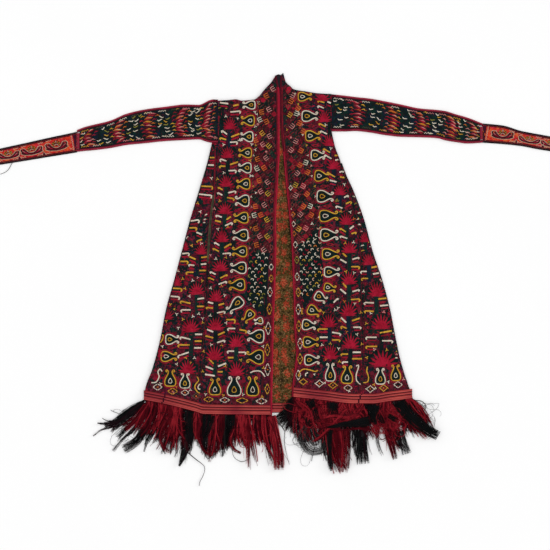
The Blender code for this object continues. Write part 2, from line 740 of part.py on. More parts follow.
def draw_lock(bm, face, row, i, hem_line, reach):
    """Extrudes a lock from its root, station by station, to its tip."""
    locks = row[-1]
    level = LEVEL_HEIGHT[row[-2]]
    centre = face.calc_center_median()
    roles = {}
    for vertex in face.verts:
        roles[vertex.co.to_tuple(7)] = (vertex.co.x > centre.x, vertex.co.z > centre.z)
    sides = ((i + LOCK_GAP) / locks, (i + 1 - LOCK_GAP) / locks)
    starts = [near_root(row, hem_line, side) for side in sides]
    for station in (None, *LOCK_STATIONS):
        made = bmesh.ops.extrude_discrete_faces(bm, faces=[face])
        face = made["faces"][0]
        moved = {}
        for vertex in face.verts:
            right, above = roles[vertex.co.to_tuple(7)]
            along = station * reach if station else starts[right]
            x, y = strand_point(row, hem_line, sides[right], along)
            height = level + (LOCK_CLOTH / 2 if above else -LOCK_CLOTH / 2)
            vertex.co = (x * MM, y * MM, height * level_share(y) * MM)
            moved[vertex.co.to_tuple(7)] = (right, above)
        roles = moved


def fringes(left, right, back):
    """The fringe of each hem, given the lines of the left front's, the right front's and the back's."""

    def top_over(hem_line, below):
        return lambda x: front_height(x, hem_line(x)) - below

    under_crimson = ROOT_CLOTH + ROOT_LAYER_GAP
    fringe("fringe_left_crimson", LEFT_CRIMSON, left, top_over(left, 0), CRIMSON)
    fringe("fringe_left_black", LEFT_BLACK, left, top_over(left, under_crimson), FRINGE_BLACK)
    fringe("fringe_right_crimson", RIGHT_CRIMSON, right, top_over(right, 0), CRIMSON)
    fringe("fringe_right_black", RIGHT_BLACK, right, top_over(right, under_crimson), FRINGE_BLACK)
    fringe("fringe_back", BACK_FRINGE, back, lambda x: BACK_CLOTH - 0.1, FRINGE_BLACK)


def build():
    back_line = back_pieces()
    back_inside()
    left, left_gore, right, right_gore = front_panels()
    hem_braid("hem_band_left", [gore + main for gore, main in zip(left_gore[-3:], left[-3:])])
    hem_braid("hem_band_right", [main + gore for main, gore in zip(right[-3:], right_gore[-3:])])
    edge_binding("front_left_binding", 1, [row[-1][1] for row in left])
    edge_binding("front_right_binding", 2, [row[0][1] for row in right])
    arms = (("left", LEFT_SLEEVE, LEFT_STRIP), ("right", RIGHT_SLEEVE, RIGHT_STRIP))
    for side, sleeve_rows, strip_rows in arms:
        sleeve(side, sleeve_rows)
        sleeve_bindings(side, sleeve_rows)
        end_strip(side, strip_rows)
    fringes(hem_line_of(left_gore[-1] + left[-1]), hem_line_of(right[-1] + right_gore[-1]), back_line)


for old in list(bpy.data.objects):
    bpy.data.objects.remove(old)
GARMENT = bpy.data.collections.new("chyrpy")
bpy.context.scene.collection.children.link(GARMENT)
build()
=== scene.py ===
"""The chyrpy's looks: fine cloth, embroidery, lining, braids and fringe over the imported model's solids.

Sizes are in millimetres until MM makes them metres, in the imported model's own frame. Its origin is
the middle of the garment's box on the surface it lies on, +X is to the right, +Y is towards the neck
and +Z is up. The tables of edges, folds and fringe are those that the solids were made from.
"""

import math
import random

import bpy
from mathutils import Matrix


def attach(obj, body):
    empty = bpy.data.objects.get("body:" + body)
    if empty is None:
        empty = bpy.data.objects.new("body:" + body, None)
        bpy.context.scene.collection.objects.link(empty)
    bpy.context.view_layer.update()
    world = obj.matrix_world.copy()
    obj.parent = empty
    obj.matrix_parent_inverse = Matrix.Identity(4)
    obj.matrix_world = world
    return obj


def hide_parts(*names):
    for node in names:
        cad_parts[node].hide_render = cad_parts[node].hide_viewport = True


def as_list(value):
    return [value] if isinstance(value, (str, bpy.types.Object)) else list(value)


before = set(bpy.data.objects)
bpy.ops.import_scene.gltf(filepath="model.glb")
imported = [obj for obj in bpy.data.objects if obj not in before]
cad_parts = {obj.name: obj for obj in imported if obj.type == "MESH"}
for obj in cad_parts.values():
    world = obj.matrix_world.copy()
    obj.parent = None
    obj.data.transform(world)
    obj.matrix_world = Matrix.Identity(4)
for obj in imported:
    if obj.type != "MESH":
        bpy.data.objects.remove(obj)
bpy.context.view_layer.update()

MM = 0.001
CHANCE = random.Random(5)

# Cloth and the order in which it lies, from the surface up
SEAM = 0.3
BACK_CLOTH = 2.0
LINING_CLOTH = 1.0
LINING_TOP = BACK_CLOTH + SEAM + LINING_CLOTH
FRONT_CLOTH = 2.0
FRONT_TOP = 5.9
SIDE_DROP = 1.3
SIDE_DROP_WIDTH = 14.0

# Trims. From these levels up the right binding and the left one are painted with shade
EDGE_SHADE_FROM = 425.0
LEFT_EDGE_SHADE_FROM = 640.0
EDGE_BINDING = 5.4
EDGE_BINDING_CLOTH = 2.4
BRAID = 32.0
BRAID_CLOTH = 1.3
INNER_BRAID = 31.0
INNER_BRAID_CLOTH = 1.2
INNER_BRAID_REACH = 60.0
INNER_BRAID_ABOVE_HEM = 2.0
LINING_TUCK = 45.0
LINING_TRIM = 5.0
LINING_TRIM_RUN = 50.0
LINING_FROM = 560.0
LINING_TO = -395.0
SLEEVE_BINDING = 9.0
SLEEVE_BINDING_CLOTH = 4.0
STRIP_BINDING = 6.0
STRIP_CLOTH = 2.8
STRIP_CROWN = 1.2

# Sleeves
SLEEVE_CLOTH = 1.8
SLEEVE_TOP = 4.4
# Room between a sleeve's end binding and its long ones, and the steps by the shoulder that lie in shade
END_SLACK = 1.5
SHADED_STEPS = 4
# Where the sleeves and the gores begin
LEFT_ARMHOLE = -194.0
RIGHT_ARMHOLE = 192.5
LEFT_GORE_TOP = 451.3
RIGHT_GORE_TOP = 382.0

# Body edges, rows of (y, x) from the hem up
LEFT_SIDE = [
    (-480, -446), (-425, -446), (-396, -443), (-372, -438), (-321, -418), (-219, -391), (-117, -371),
    (-15, -343), (87, -316), (189, -289), (291, -258), (393, -228), (451.5, -214.5),
]
LEFT_SEAM = [
    (-480, -258), (-437, -258), (-253, -251), (-83, -235), (121, -224), (223, -215), (291, -205),
    (430, -198.5), (451.5, LEFT_ARMHOLE),
]
RIGHT_SEAM = [
    (-480, 295), (-406, 296), (-83, 299), (121, 291), (189, 275.5), (284, 257), (342, 233), (382, 224),
    (393, 221), (439, 204), (490, RIGHT_ARMHOLE),
]
RIGHT_SIDE = [
    (-480, 475), (-422, 469), (-372, 453), (-321, 436), (-270, 422.5), (-168, 402), (-117, 392),
    (-15, 365), (87, 331), (189, 303.5), (291, 266), (342, 242.5), (393, 224),
]
# Middle of each front's edge binding, rows of (y, left x, right x) from the hem up
OPENING = [
    (-480, -12.6, 59), (-400, -11.5, 60), (-369, -11, 61.5), (-304, -9.5, 70), (-252, -8.5, 74),
    (-213, -7.5, 69), (-83, -3.4, 65.3), (0, -0.5, 62), (121, 2.4, 57), (189, 1, 51), (300, 6.6, 40),
    (420, 12.9, 29.2), (515, 13, 20.5), (600, 13.2, 18.9), (630, 12.5, 19.2), (651, 8, 20), (680, 2, 22),
]
# Shoulders and neck, rows of (x, y)
LEFT_TOP = [
    (-200, 594.3), (-160, 596.7), (-133, 599.4), (-113, 595), (-70, 599), (-52, 612.3), (-37, 631),
    (-13, 657), (5, 680), (20, 680),
]
RIGHT_TOP = [
    (15, 680), (29.6, 680), (32, 671), (38, 656), (52, 644), (64, 633), (109, 625.5), (144, 620),
    (196, 617),
]
# Hems, rows of (x, y)
LEFT_HEM = [
    (-450, -421), (-378, -435), (-320, -449), (-268, -462.7), (-243, -470), (-146, -471.6), (-5, -473.3),
]
RIGHT_HEM = [(50, -410.7), (165, -423.3), (275, -434.5), (330, -434.5), (386, -427), (475, -416)]
BACK_HEM = [
    (-450, -417), (-378, -431), (-320, -445), (-268, -458.5), (-243, -465.5), (-146, -467.5), (30, -467),
    (165, -450), (275, -445), (330, -441), (386, -432), (475, -419),
]
# The dip between the two peaks of the neck: from x, to x, depth
NECK_NOTCH = (5.0, 29.0, 8.0)

# Sleeves, rows of (x, lower edge y, upper edge y), from the hand end to the armhole
LEFT_SLEEVE = [
    (-674, 421, 495.5), (-649, 424, 505), (-625, 426, 511.5), (-563, 433.5, 526.5), (-504, 444.5, 551),
    (-447, 450, 564.5), (-374, 457.5, 574.5), (-304, 461.5, 582), (-258, 463.5, 581), (-240, 458, 588),
    (-225, 453.5, 596), (-210, 451.8, 599.5), (-194, 451.8, 599),
]
RIGHT_SLEEVE = [
    (192.5, 490.6, 617), (238, 490.5, 612.3), (271, 492, 608), (322, 487, 602.5), (378, 477.5, 592.5),
    (430, 472.2, 582), (491, 470.8, 569), (553, 467.5, 563.5), (579, 460.3, 560), (613, 454.5, 549.8),
    (657, 449.5, 536.8), (706.5, 452.2, 517.5),
]
# Strips past the sleeve ends, rows of (x, lower edge y, upper edge y)
LEFT_STRIP = [
    (-1020, 363.5, 414), (-935, 377, 432.5), (-850, 390.5, 451), (-765, 404.5, 470), (-674.3, 419, 489),
]
RIGHT_STRIP = [
    (706.8, 452.2, 517.7), (774, 447.5, 511), (839, 440.5, 492), (891, 430.5, 482), (935, 423.6, 474),
    (1020, 412.5, 457.5),
]

# Folds in the fronts, rows of (x0, y0, x1, y1, half width, height)
BODY_FOLDS = [
    (-180, 430, -95, 230, 26, 3.2),
    (-215, 60, -245, -330, 20, 2.4),
    (-150, 20, -165, -560, 30, 3.0),
    (-70, -160, -80, -560, 26, 2.2),
    (-330, -60, -372, -540, 26, 3.2),
    (-410, -240, -430, -520, 18, 2.2),
    (180, 470, 95, 250, 24, 3.0),
    (320, 60, 372, -540, 26, 3.0),
    (225, -40, 232, -540, 28, 2.8),
    (140, -120, 140, -540, 24, 2.2),
    (420, -200, 440, -520, 18, 2.0),
    (-58, 590, -5, 655, 15, 2.0),
    (34, 650, 110, 600, 15, 2.0),
]
# Finer creases of the fronts, in the same columns. A trough has a negative height
BODY_CREASES = [
    (-168, 590, -176, 470, 7, 1.3), (-150, 560, -120, 500, 6, -0.8), (-186, 440, -160, 330, 7, 1.0),
    (-128, 470, -84, 400, 6, 0.9), (-96, 210, -128, 60, 9, 1.1), (-208, 250, -226, 90, 7, 1.0),
    (-260, 240, -300, 40, 8, 1.2), (-236, 180, -258, 20, 6, -0.8), (-290, -40, -322, -230, 9, 1.3),
    (-352, -90, -388, -260, 7, -0.9), (-262, -160, -276, -400, 8, 1.2), (-186, -120, -196, -300, 7, -0.9),
    (-120, -60, -112, -260, 8, 1.2), (-48, -40, -44, -200, 7, 0.7), (-60, -300, -52, -460, 6, 0.8),
    (-210, -330, -222, -470, 8, 1.2), (-300, -300, -318, -450, 7, 1.0), (-395, -330, -402, -440, 6, 0.8),
    (150, 600, 168, 500, 7, 1.2), (120, 560, 98, 470, 6, -0.7), (175, 440, 150, 360, 7, 1.0),
    (120, 240, 128, 90, 9, 1.1), (238, 220, 262, 60, 7, 1.0), (290, 160, 322, -10, 8, 1.1),
    (205, 60, 196, -90, 8, -0.9), (280, 20, 286, -160, 7, 1.1), (345, -20, 384, -220, 8, 1.2),
    (180, -160, 172, -330, 7, 1.0), (256, -200, 262, -410, 8, 1.2), (310, -160, 322, -380, 7, -0.8),
    (110, -220, 102, -400, 7, 0.9), (392, -260, 410, -410, 7, 1.0), (100, 40, 104, -120, 7, 0.8),
]
# Height that the right front's edge stands above the lining, rows of (y, height)
EDGE_LIFT = [
    (-480, 0), (-400, 1), (-330, 5.5), (-200, 7), (-60, 5), (90, 6), (200, 4), (330, 1.5), (430, 0),
    (700, 0),
]
EDGE_LIFT_WIDTH = 30.0
# Folds and creases along the sleeves, in the same columns as the body's
SLEEVE_FOLDS = [
    (-215, 560, -330, 545, 12, 2.4),
    (-215, 500, -400, 500, 12, 2.2),
    (-400, 525, -610, 480, 12, 1.8),
    (215, 585, 360, 560, 12, 2.2),
    (210, 525, 400, 510, 12, 2.2),
    (420, 540, 650, 495, 12, 1.8),
]
SLEEVE_CREASES = [
    (-202, 590, -260, 570, 5, 1.0), (-206, 470, -262, 486, 5, 0.9), (-250, 530, -330, 522, 6, -0.7),
    (-330, 480, -440, 474, 6, 0.9), (-380, 560, -470, 548, 5, 0.8), (-470, 500, -560, 494, 5, -0.6),
    (-560, 455, -650, 440, 5, 0.7), (-620, 495, -662, 486, 4, 0.6),
    (200, 605, 262, 596, 5, 1.0), (206, 500, 270, 506, 5, 0.9), (250, 556, 340, 540, 6, -0.7),
    (330, 500, 430, 492, 6, 0.8), (400, 575, 500, 556, 5, 0.8), (480, 510, 570, 500, 5, -0.6),
    (580, 480, 660, 470, 5, 0.7), (640, 520, 690, 506, 4, 0.6),
]
# Troughs in the back's underside, which otherwise rests flat, in the same columns
BACK_CREASES = [
    (-120, 520, -150, 250, 9, 0.7), (60, 560, 90, 330, 8, 0.6), (-40, 300, -60, 40, 10, 0.8),
    (150, 260, 190, -60, 9, 0.7), (-200, 120, -230, -200, 10, 0.8), (-310, -60, -350, -330, 9, 0.7),
    (20, -80, 10, -380, 11, 0.8), (-120, -180, -140, -430, 9, 0.7), (240, -120, 270, -400, 10, 0.8),
    (350, -40, 390, -330, 9, 0.7), (-250, 540, -420, 520, 8, 0.5), (250, 560, 430, 540, 8, 0.5),
]

# Fringe
FRINGE_SEAM = 0.6
ROOT_CLOTH = 1.2
ROOT_LAYER_GAP = 0.8
LEVEL_HEIGHT = (1.15, 2.95, 4.8, 6.6, 8.4)
SINK_FROM = -400.0
SINK_TO = -680.0
LEVEL_SINK = 0.2
# Columns: root from x, root to x, tip from x, y, tip to x, y, sideways bow,
# share of the length that it drops before it bends, level, locks
LEFT_CRIMSON = [
    (-436, -366, -490, -540, -412, -566, -10, 0.45, 3, 7),
    (-366, -330, -402, -588, -337, -612, 0, 0.45, 3, 5),
    (-330, -313, -296, -608, -282, -612, -8, 0.5, 4, 2),
    (-279, -245, -274, -560, -256, -575, -6, 0.5, 3, 3),
    (-214, -173, -229, -634, -197, -638, -4, 0.5, 3, 4),
    (-136, -100, -152, -600, -68, -590, 0, 0.4, 3, 6),
    (-100, -93, -88, -664, -80, -668, 0, 0.5, 4, 1),
    (-92, -85, -61, -645, -53, -648, 0, 0.5, 4, 1),
    (-74, -50, -61, -580, -26, -582, 0, 0.5, 3, 3),
    (-47, -11, -7, -655, 31, -660, 6, 0.5, 4, 6),
]
LEFT_BLACK = [
    (-445, -436, -598, -515, -562, -538, -62, 0.2, 2, 3),
    (-436, -412, -548, -545, -515, -585, -28, 0.3, 1, 3),
    (-412, -385, -512, -598, -478, -612, -15, 0.35, 2, 3),
    (-385, -360, -450, -600, -434, -606, -8, 0.4, 1, 2),
    (-360, -318, -390, -607, -336, -622, 0, 0.45, 2, 4),
    (-316, -272, -322, -648, -282, -612, 0, 0.5, 1, 4),
    (-272, -214, -240, -610, -209, -636, 0, 0.5, 2, 5),
    (-214, -140, -205, -628, -150, -608, 0, 0.5, 1, 5),
    (-140, -50, -140, -575, -50, -578, 0, 0.5, 2, 6),
    (-50, -11, -38, -585, 5, -600, 0, 0.5, 1, 3),
]
RIGHT_CRIMSON = [
    (62, 98, 60, -545, 118, -575, -12, 0.45, 3, 5),
    (98, 139, 122, -570, 175, -535, 0, 0.5, 4, 5),
    (139, 174, 136, -490, 184, -495, 0, 0.5, 3, 4),
    (174, 214, 203, -686.46, 262, -650, -6, 0.5, 3, 5),
    (214, 303, 190, -528, 312, -522, 0, 0.5, 4, 9),
    (360, 385, 347, -528, 395, -540, -8, 0.5, 4, 4),
    (385, 398, 398, -610, 416, -616, 0, 0.5, 3, 3),
    (438, 452, 442, -560, 520, -550, -5, 0.35, 3, 4),
    (452, 467, 527, -520, 551, -541, 40, 0.2, 4, 3),
]
RIGHT_BLACK = [
    (62, 80, 20, -497, 66, -540, -22, 0.2, 2, 4),
    (80, 139, 92, -580, 170, -588, 0, 0.45, 1, 5),
    (139, 214, 178, -655, 210, -665, 0, 0.5, 2, 5),
    (214, 262, 215, -640, 268, -620, 0, 0.5, 1, 4),
    (262, 309, 276, -645, 318, -632, 0, 0.5, 2, 4),
    (309, 360, 318, -505, 350, -525, 0, 0.5, 1, 4),
    (360, 398, 420, -600, 456, -610, 0, 0.5, 2, 4),
    (398, 438, 470, -560, 548, -535, 12, 0.35, 1, 5),
    (438, 467, 510, -520, 549, -532, 28, 0.25, 2, 3),
]
BACK_FRINGE = [
    (-436, -340, -470, -560, -360, -575, 0, 0.4, 0, 6),
    (-330, -230, -330, -566, -236, -566, 0, 0.5, 0, 6),
    (-220, -120, -225, -590, -130, -585, 0, 0.5, 0, 5),
    (-110, -20, -110, -560, -30, -560, 0, 0.5, 0, 5),
    (34, 60, 30, -500, 62, -530, -4, 0.4, 0, 2),
    (70, 160, 80, -545, 160, -550, 0, 0.5, 0, 5),
    (170, 300, 190, -620, 300, -610, 0, 0.5, 0, 7),
    (310, 380, 315, -505, 352, -515, 0, 0.5, 0, 3),
    (385, 460, 405, -560, 500, -545, 8, 0.4, 0, 4),
]
# Fine threads drawn along those locks
THREADS_PER_MM = 2.3
THREAD_RADIUS = 0.9
FINE_RADIUS = 0.55
TANGLE_RADIUS = 1.35
# Tangles below this height are drawn fine. None passes its patch's upper edge by more than the spill
TANGLE_LOW = 8.0
TANGLE_SPILL = 5.0
THREAD_STEPS = 9
# Share of its thickness that a thread loses towards its tip, and the shape of its three sides
THREAD_TAPER = 0.35
SIN_60 = 0.866
THREAD_REACH = (0.74, 1.0)
TUFTS_A_LOCK = 2.0
TUFT_SWAY = 5.5
STRAYS = 0.22
STRAY_SWAY = 13.0
# Share of a tuft's or a streak's threads that have its own shade
SHADE_OF_TUFT = 0.8
SHADE_OF_STREAK = 0.7
# A bundle of up to this many threads is drawn finer and smoother
FEW_THREADS = 5
PLIES_PER_MM = 0.24
PLY_WIDTH = 1.2

# Cloth is drawn on grids of about this spacing, with a crease where faces meet at more than this angle
GRID = 5.0
BACK_GRID = 12.0
SHARP_ANGLE = 50.0

# Embroidery: a thread's height at its sides and in its middle, a fill's height, and the threads' widths
RIBBON_EDGE = 0.12
RIBBON_RISE = 0.75
FILL_LIFT = 0.28
OUTLINE_THREAD = 3.9
FINE_THREAD = 1.7
MARK_THREAD = 2.3
FAN_RAY = 3.0


def mix(a, b, t):
    return a + (b - a) * t


def curve_value(rows, at, column=1):
    """A smooth curve through the rows, which rise in their first column. It never swings past a row."""
    if at <= rows[0][0]:
        return rows[0][column]
    if at >= rows[-1][0]:
        return rows[-1][column]
    i = 0
    while rows[i + 1][0] < at:
        i += 1

    def slope(k):
        return (rows[k + 1][column] - rows[k][column]) / (rows[k + 1][0] - rows[k][0])

    def tangent(k):
        if k == 0:
            return slope(0)
        if k == len(rows) - 1:
            return slope(k - 1)
        before = slope(k - 1)
        after = slope(k)
        if before * after <= 0:
            return 0.0
        return 2 * before * after / (before + after)

    width = rows[i + 1][0] - rows[i][0]
    t = (at - rows[i][0]) / width
    start = (1 + 2 * t) * (1 - t) ** 2 * rows[i][column]
    end = t * t * (3 - 2 * t) * rows[i + 1][column]
    lean_in = t * (1 - t) ** 2 * width * tangent(i)
    lean_out = t * t * (t - 1) * width * tangent(i + 1)
    return start + end + lean_in + lean_out


def smooth_step(t):
    t = min(max(t, 0.0), 1.0)
    return t * t * (3 - 2 * t)


def fold_height(folds, x, y):
    """How far soft ridges lift the cloth at a point, or troughs lower it."""
    lift = 0.0
    for x0, y0, x1, y1, half_width, height in folds:
        along_x = x1 - x0
        along_y = y1 - y0
        t = ((x - x0) * along_x + (y - y0) * along_y) / (along_x**2 + along_y**2)
        t = min(max(t, 0.0), 1.0)
        away = math.hypot(x - x0 - t * along_x, y - y0 - t * along_y)
        if away < 3 * half_width:
            lift += height * math.exp(-((away / half_width) ** 2)) * math.sin(math.pi * t) ** 0.5
    return lift


def front_height(x, y):
    """Top of the fronts' cloth above the surface that the garment lies on."""
    from_edge = x - curve_value(OPENING, y, 2)
    edge = curve_value(EDGE_LIFT, y) * math.exp(-((from_edge / EDGE_LIFT_WIDTH) ** 2))
    if from_edge < -EDGE_BINDING:
        edge = 0.0
    return FRONT_TOP + fold_height(BODY_FOLDS, x, y) + edge


def curve_of(rows):
    """The function that reads a smooth curve off its rows."""
    return lambda at: curve_value(rows, at)


left_seam = curve_of(LEFT_SEAM)
right_seam = curve_of(RIGHT_SEAM)
left_side = curve_of(LEFT_SIDE)
right_side = curve_of(RIGHT_SIDE)
left_hem = curve_of(LEFT_HEM)
right_hem = curve_of(RIGHT_HEM)
back_hem = curve_of(BACK_HEM)
left_top = curve_of(LEFT_TOP)
right_top = curve_of(RIGHT_TOP)


def left_edge(y):
    return curve_value(OPENING, y, 1) - EDGE_BINDING / 2 - SEAM


def right_edge(y):
    return curve_value(OPENING, y, 2) + EDGE_BINDING / 2 + SEAM


def back_top(x):
    """The shoulders and the neck across the whole back, with the notch between the two peaks."""
    left, right, depth = NECK_NOTCH
    if x < left:
        return left_top(x)
    if x > right:
        return right_top(x)
    return LEFT_TOP[-1][1] - depth * math.sin(math.pi * (x - left) / (right - left)) ** 2


def side_drop(inward, y, hem):
    """How far a front comes down towards the back within a few millimetres of the body's outline."""
    away_from_hem = smooth_step((y - hem - BRAID) / BRAID)
    return SIDE_DROP * (1 - smooth_step(inward / SIDE_DROP_WIDTH)) * away_from_hem


def body_top(x, y):
    """Top of the fronts with their creases, at any point of either front or its gore."""
    on_left = x < curve_value(OPENING, y, 1) + EDGE_BINDING
    hem = left_hem(x) if on_left else right_hem(x)
    if on_left and y < LEFT_GORE_TOP and x < left_seam(y):
        inward = x - left_side(y)
    elif not on_left and y < RIGHT_GORE_TOP and x > right_seam(y):
        inward = right_side(y) - x
    else:
        inward = (left_top(x) if on_left else right_top(x)) - y
    return front_height(x, y) + fold_height(BODY_CREASES, x, y) - side_drop(inward, y, hem)


def sleeve_top(x, y):
    return SLEEVE_TOP + fold_height(SLEEVE_FOLDS, x, y) + fold_height(SLEEVE_CREASES, x, y)


def meet(edge_y, left_x, right_x, share):
    """The y at which a column, at this share of the way across a panel, meets its top or hem line."""
    y = edge_y(0.0)
    for _ in range(12):
        y = edge_y(mix(left_x(y), right_x(y), share))
    return y


# Camera, floor and light


def set_view():
    """A camera straight above, so that a picture 550 pixels wide spans 1.87 m as the photograph does."""
    field = 1870.0
    height = 4000.0
    sensor = 36.0
    middle_y = 1.7
    camera = bpy.data.cameras.new("camera")
    camera.sensor_width = sensor
    camera.lens = sensor * (height - FRONT_TOP) / field
    holder = bpy.data.objects.new("camera", camera)
    holder.location = (0.0, middle_y * MM, height * MM)
    bpy.context.scene.collection.objects.link(holder)
    bpy.context.scene.camera = holder
    bpy.context.scene.view_settings.view_transform = "Standard"


def set_light():
    """Even white light from all round, with a low broad lamp on the right that draws a soft shadow."""
    world = bpy.data.worlds.new("studio")
    world.use_nodes = True
    background = world.node_tree.nodes["Background"]
    background.inputs["Color"].default_value = (1.0, 1.0, 1.0, 1.0)
    background.inputs["Strength"].default_value = 0.86
    bpy.context.scene.world = world
    for name, strength, spread, elevation, azimuth in (
        ("raking_light", 0.75, 14.0, 15.0, 20.0),
        ("top_light", 0.35, 30.0, 62.0, 60.0),
    ):
        lamp = bpy.data.lights.new(name, "SUN")
        lamp.energy = strength
        lamp.angle = math.radians(spread)
        holder = bpy.data.objects.new(name, lamp)
        holder.rotation_euler = (0.0, math.radians(90.0 - elevation), math.radians(azimuth))
        bpy.context.scene.collection.objects.link(holder)


def lay_floor():
    """A plain pale floor, a hair below the cloth."""
    half = 9000.0
    below = 0.2
    mesh = bpy.data.meshes.new("floor")
    corners = [(-half, -half), (half, -half), (half, half), (-half, half)]
    mesh.from_pydata([(x * MM, y * MM, -below * MM) for x, y in corners], [], [(0, 1, 2, 3)])
    finish = Finish("floor_paper", roughness=0.9)
    tones = [(0.0, (0.965, 0.965, 0.965)), (1.0, (0.985, 0.985, 0.985))]
    finish.colour(finish.ramp(finish.noise(400.0), tones))
    mesh.materials.append(finish.material)
    floor = bpy.data.objects.new("floor", mesh)
    bpy.context.scene.collection.objects.link(floor)


# Materials

# At scale 1 a wave texture repeats over this many metres
WAVE_PERIOD = 0.314


class Finish:
    """A material in the making, with a short call for each node that it needs. Sizes are millimetres."""

    def __init__(self, name, roughness=0.8, sheen=0.0, sheen_tint=(1.0, 1.0, 1.0)):
        self.material = bpy.data.materials.new(name)
        self.material.use_nodes = True
        self.tree = self.material.node_tree
        self.shader = self.tree.nodes["Principled BSDF"]
        self.shader.inputs["Roughness"].default_value = roughness
        self.shader.inputs["Specular IOR Level"].default_value = 0.04
        self.shader.inputs["Sheen Weight"].default_value = sheen
        self.shader.inputs["Sheen Roughness"].default_value = 0.4
        self.shader.inputs["Sheen Tint"].default_value = (*sheen_tint, 1.0)
        self.place = self.node("ShaderNodeTexCoord").outputs["Object"]

    def node(self, kind, **settings):
        made = self.tree.nodes.new(kind)
        for key, value in settings.items():
            setattr(made, key, value)
        return made

    def feed(self, socket, value):
        if isinstance(value, bpy.types.NodeSocket):
            self.tree.links.new(value, socket)
        else:
            socket.default_value = value

    def noise(self, size, detail=2.0):
        made = self.node("ShaderNodeTexNoise")
        self.feed(made.inputs["Vector"], self.place)
        made.inputs["Scale"].default_value = 1 / (size * MM)
        made.inputs["Detail"].default_value = detail
        return made.outputs["Fac"]

    def cells(self, size, out="Distance", place=None, spread=1.0):
        made = self.node("ShaderNodeTexVoronoi")
        self.feed(made.inputs["Vector"], place or self.place)
        made.inputs["Scale"].default_value = 1 / (size * MM)
        made.inputs["Randomness"].default_value = spread
        return made.outputs[out]

    def bands(self, size, bend, place=None, across="X"):
        made = self.node("ShaderNodeTexWave", bands_direction=across)
        self.feed(made.inputs["Vector"], place or self.place)
        made.inputs["Scale"].default_value = WAVE_PERIOD / (size * MM)
        made.inputs["Distortion"].default_value = bend
        made.inputs["Detail"].default_value = 1.0
        made.inputs["Detail Scale"].default_value = 1.5
        return made.outputs["Fac"]

    def ramp(self, value, stops, kind="LINEAR"):
        made = self.node("ShaderNodeValToRGB")
        made.color_ramp.interpolation = kind
        points = made.color_ramp.elements
        while len(points) < len(stops):
            points.new(0.5)
        for point, (position, colour) in zip(points, stops):
            point.position = position
            point.color = (*colour, 1.0)
        self.feed(made.inputs["Fac"], value)
        return made.outputs["Color"]

    def blend(self, share, a, b, kind="MIX"):
        made = self.node("ShaderNodeMix", data_type="RGBA", blend_type=kind)
        self.feed(made.inputs[0], share)
        self.feed(made.inputs[6], a if isinstance(a, bpy.types.NodeSocket) else (*a, 1.0))
        self.feed(made.inputs[7], b if isinstance(b, bpy.types.NodeSocket) else (*b, 1.0))
        return made.outputs[2]

    def maths(self, kind, a, b):
        made = self.node("ShaderNodeMath", operation=kind)
        self.feed(made.inputs[0], a)
        self.feed(made.inputs[1], b)
        return made.outputs[0]

    def part(self, value, channel):
        made = self.node("ShaderNodeSeparateXYZ")
        self.feed(made.inputs[0], value)
        return made.outputs[channel]

    def fit(self, value, low, high, to_low, to_high):
        made = self.node("ShaderNodeMapRange")
        for socket, amount in zip(made.inputs, (value, low, high, to_low, to_high)):
            self.feed(socket, amount)
        return made.outputs[0]

    def turned(self, angle):
        made = self.node("ShaderNodeVectorRotate", rotation_type="Z_AXIS")
        self.feed(made.inputs["Vector"], self.place)
        self.feed(made.inputs["Angle"], angle)
        return made.outputs[0]

    def colour(self, value):
        self.feed(self.shader.inputs["Base Color"], value)

    def roughness(self, value, low, high):
        self.feed(self.shader.inputs["Roughness"], self.fit(value, 0.0, 1.0, low, high))

    def bump(self, height, depth):
        made = self.node("ShaderNodeBump")
        made.inputs["Strength"].default_value = 1.0
        made.inputs["Distance"].default_value = depth * MM
        self.feed(made.inputs["Height"], height)
        self.feed(self.shader.inputs["Normal"], made.outputs[0])


def shade(colour, share):
    return tuple(part * share for part in colour)


def thread_finish(name, dark, light, roughness=0.62, sheen=0.06):
    """Chain-stitched silk thread: knots a millimetre or two long over slow changes of dye, with painted shade
    in the pits between the knots.
    """
    finish = Finish(name, roughness, sheen, light)
    dye = finish.noise(14.0, 3.0)
    knots = finish.cells(1.9)
    base = finish.ramp(dye, [(0.3, dark), (0.7, light)])
    # Painted shade: the colour darkens towards the edges of each knot, where the bump sinks
    pit_shade = finish.ramp(knots, [(0.0, (1.0, 1.0, 1.0)), (0.8, (0.55, 0.52, 0.5))])
    finish.colour(finish.blend(1.0, base, pit_shade, "MULTIPLY"))
    finish.roughness(knots, roughness - 0.08, roughness + 0.15)
    finish.bump(finish.maths("SUBTRACT", 1.0, knots), 0.35)
    return finish.material


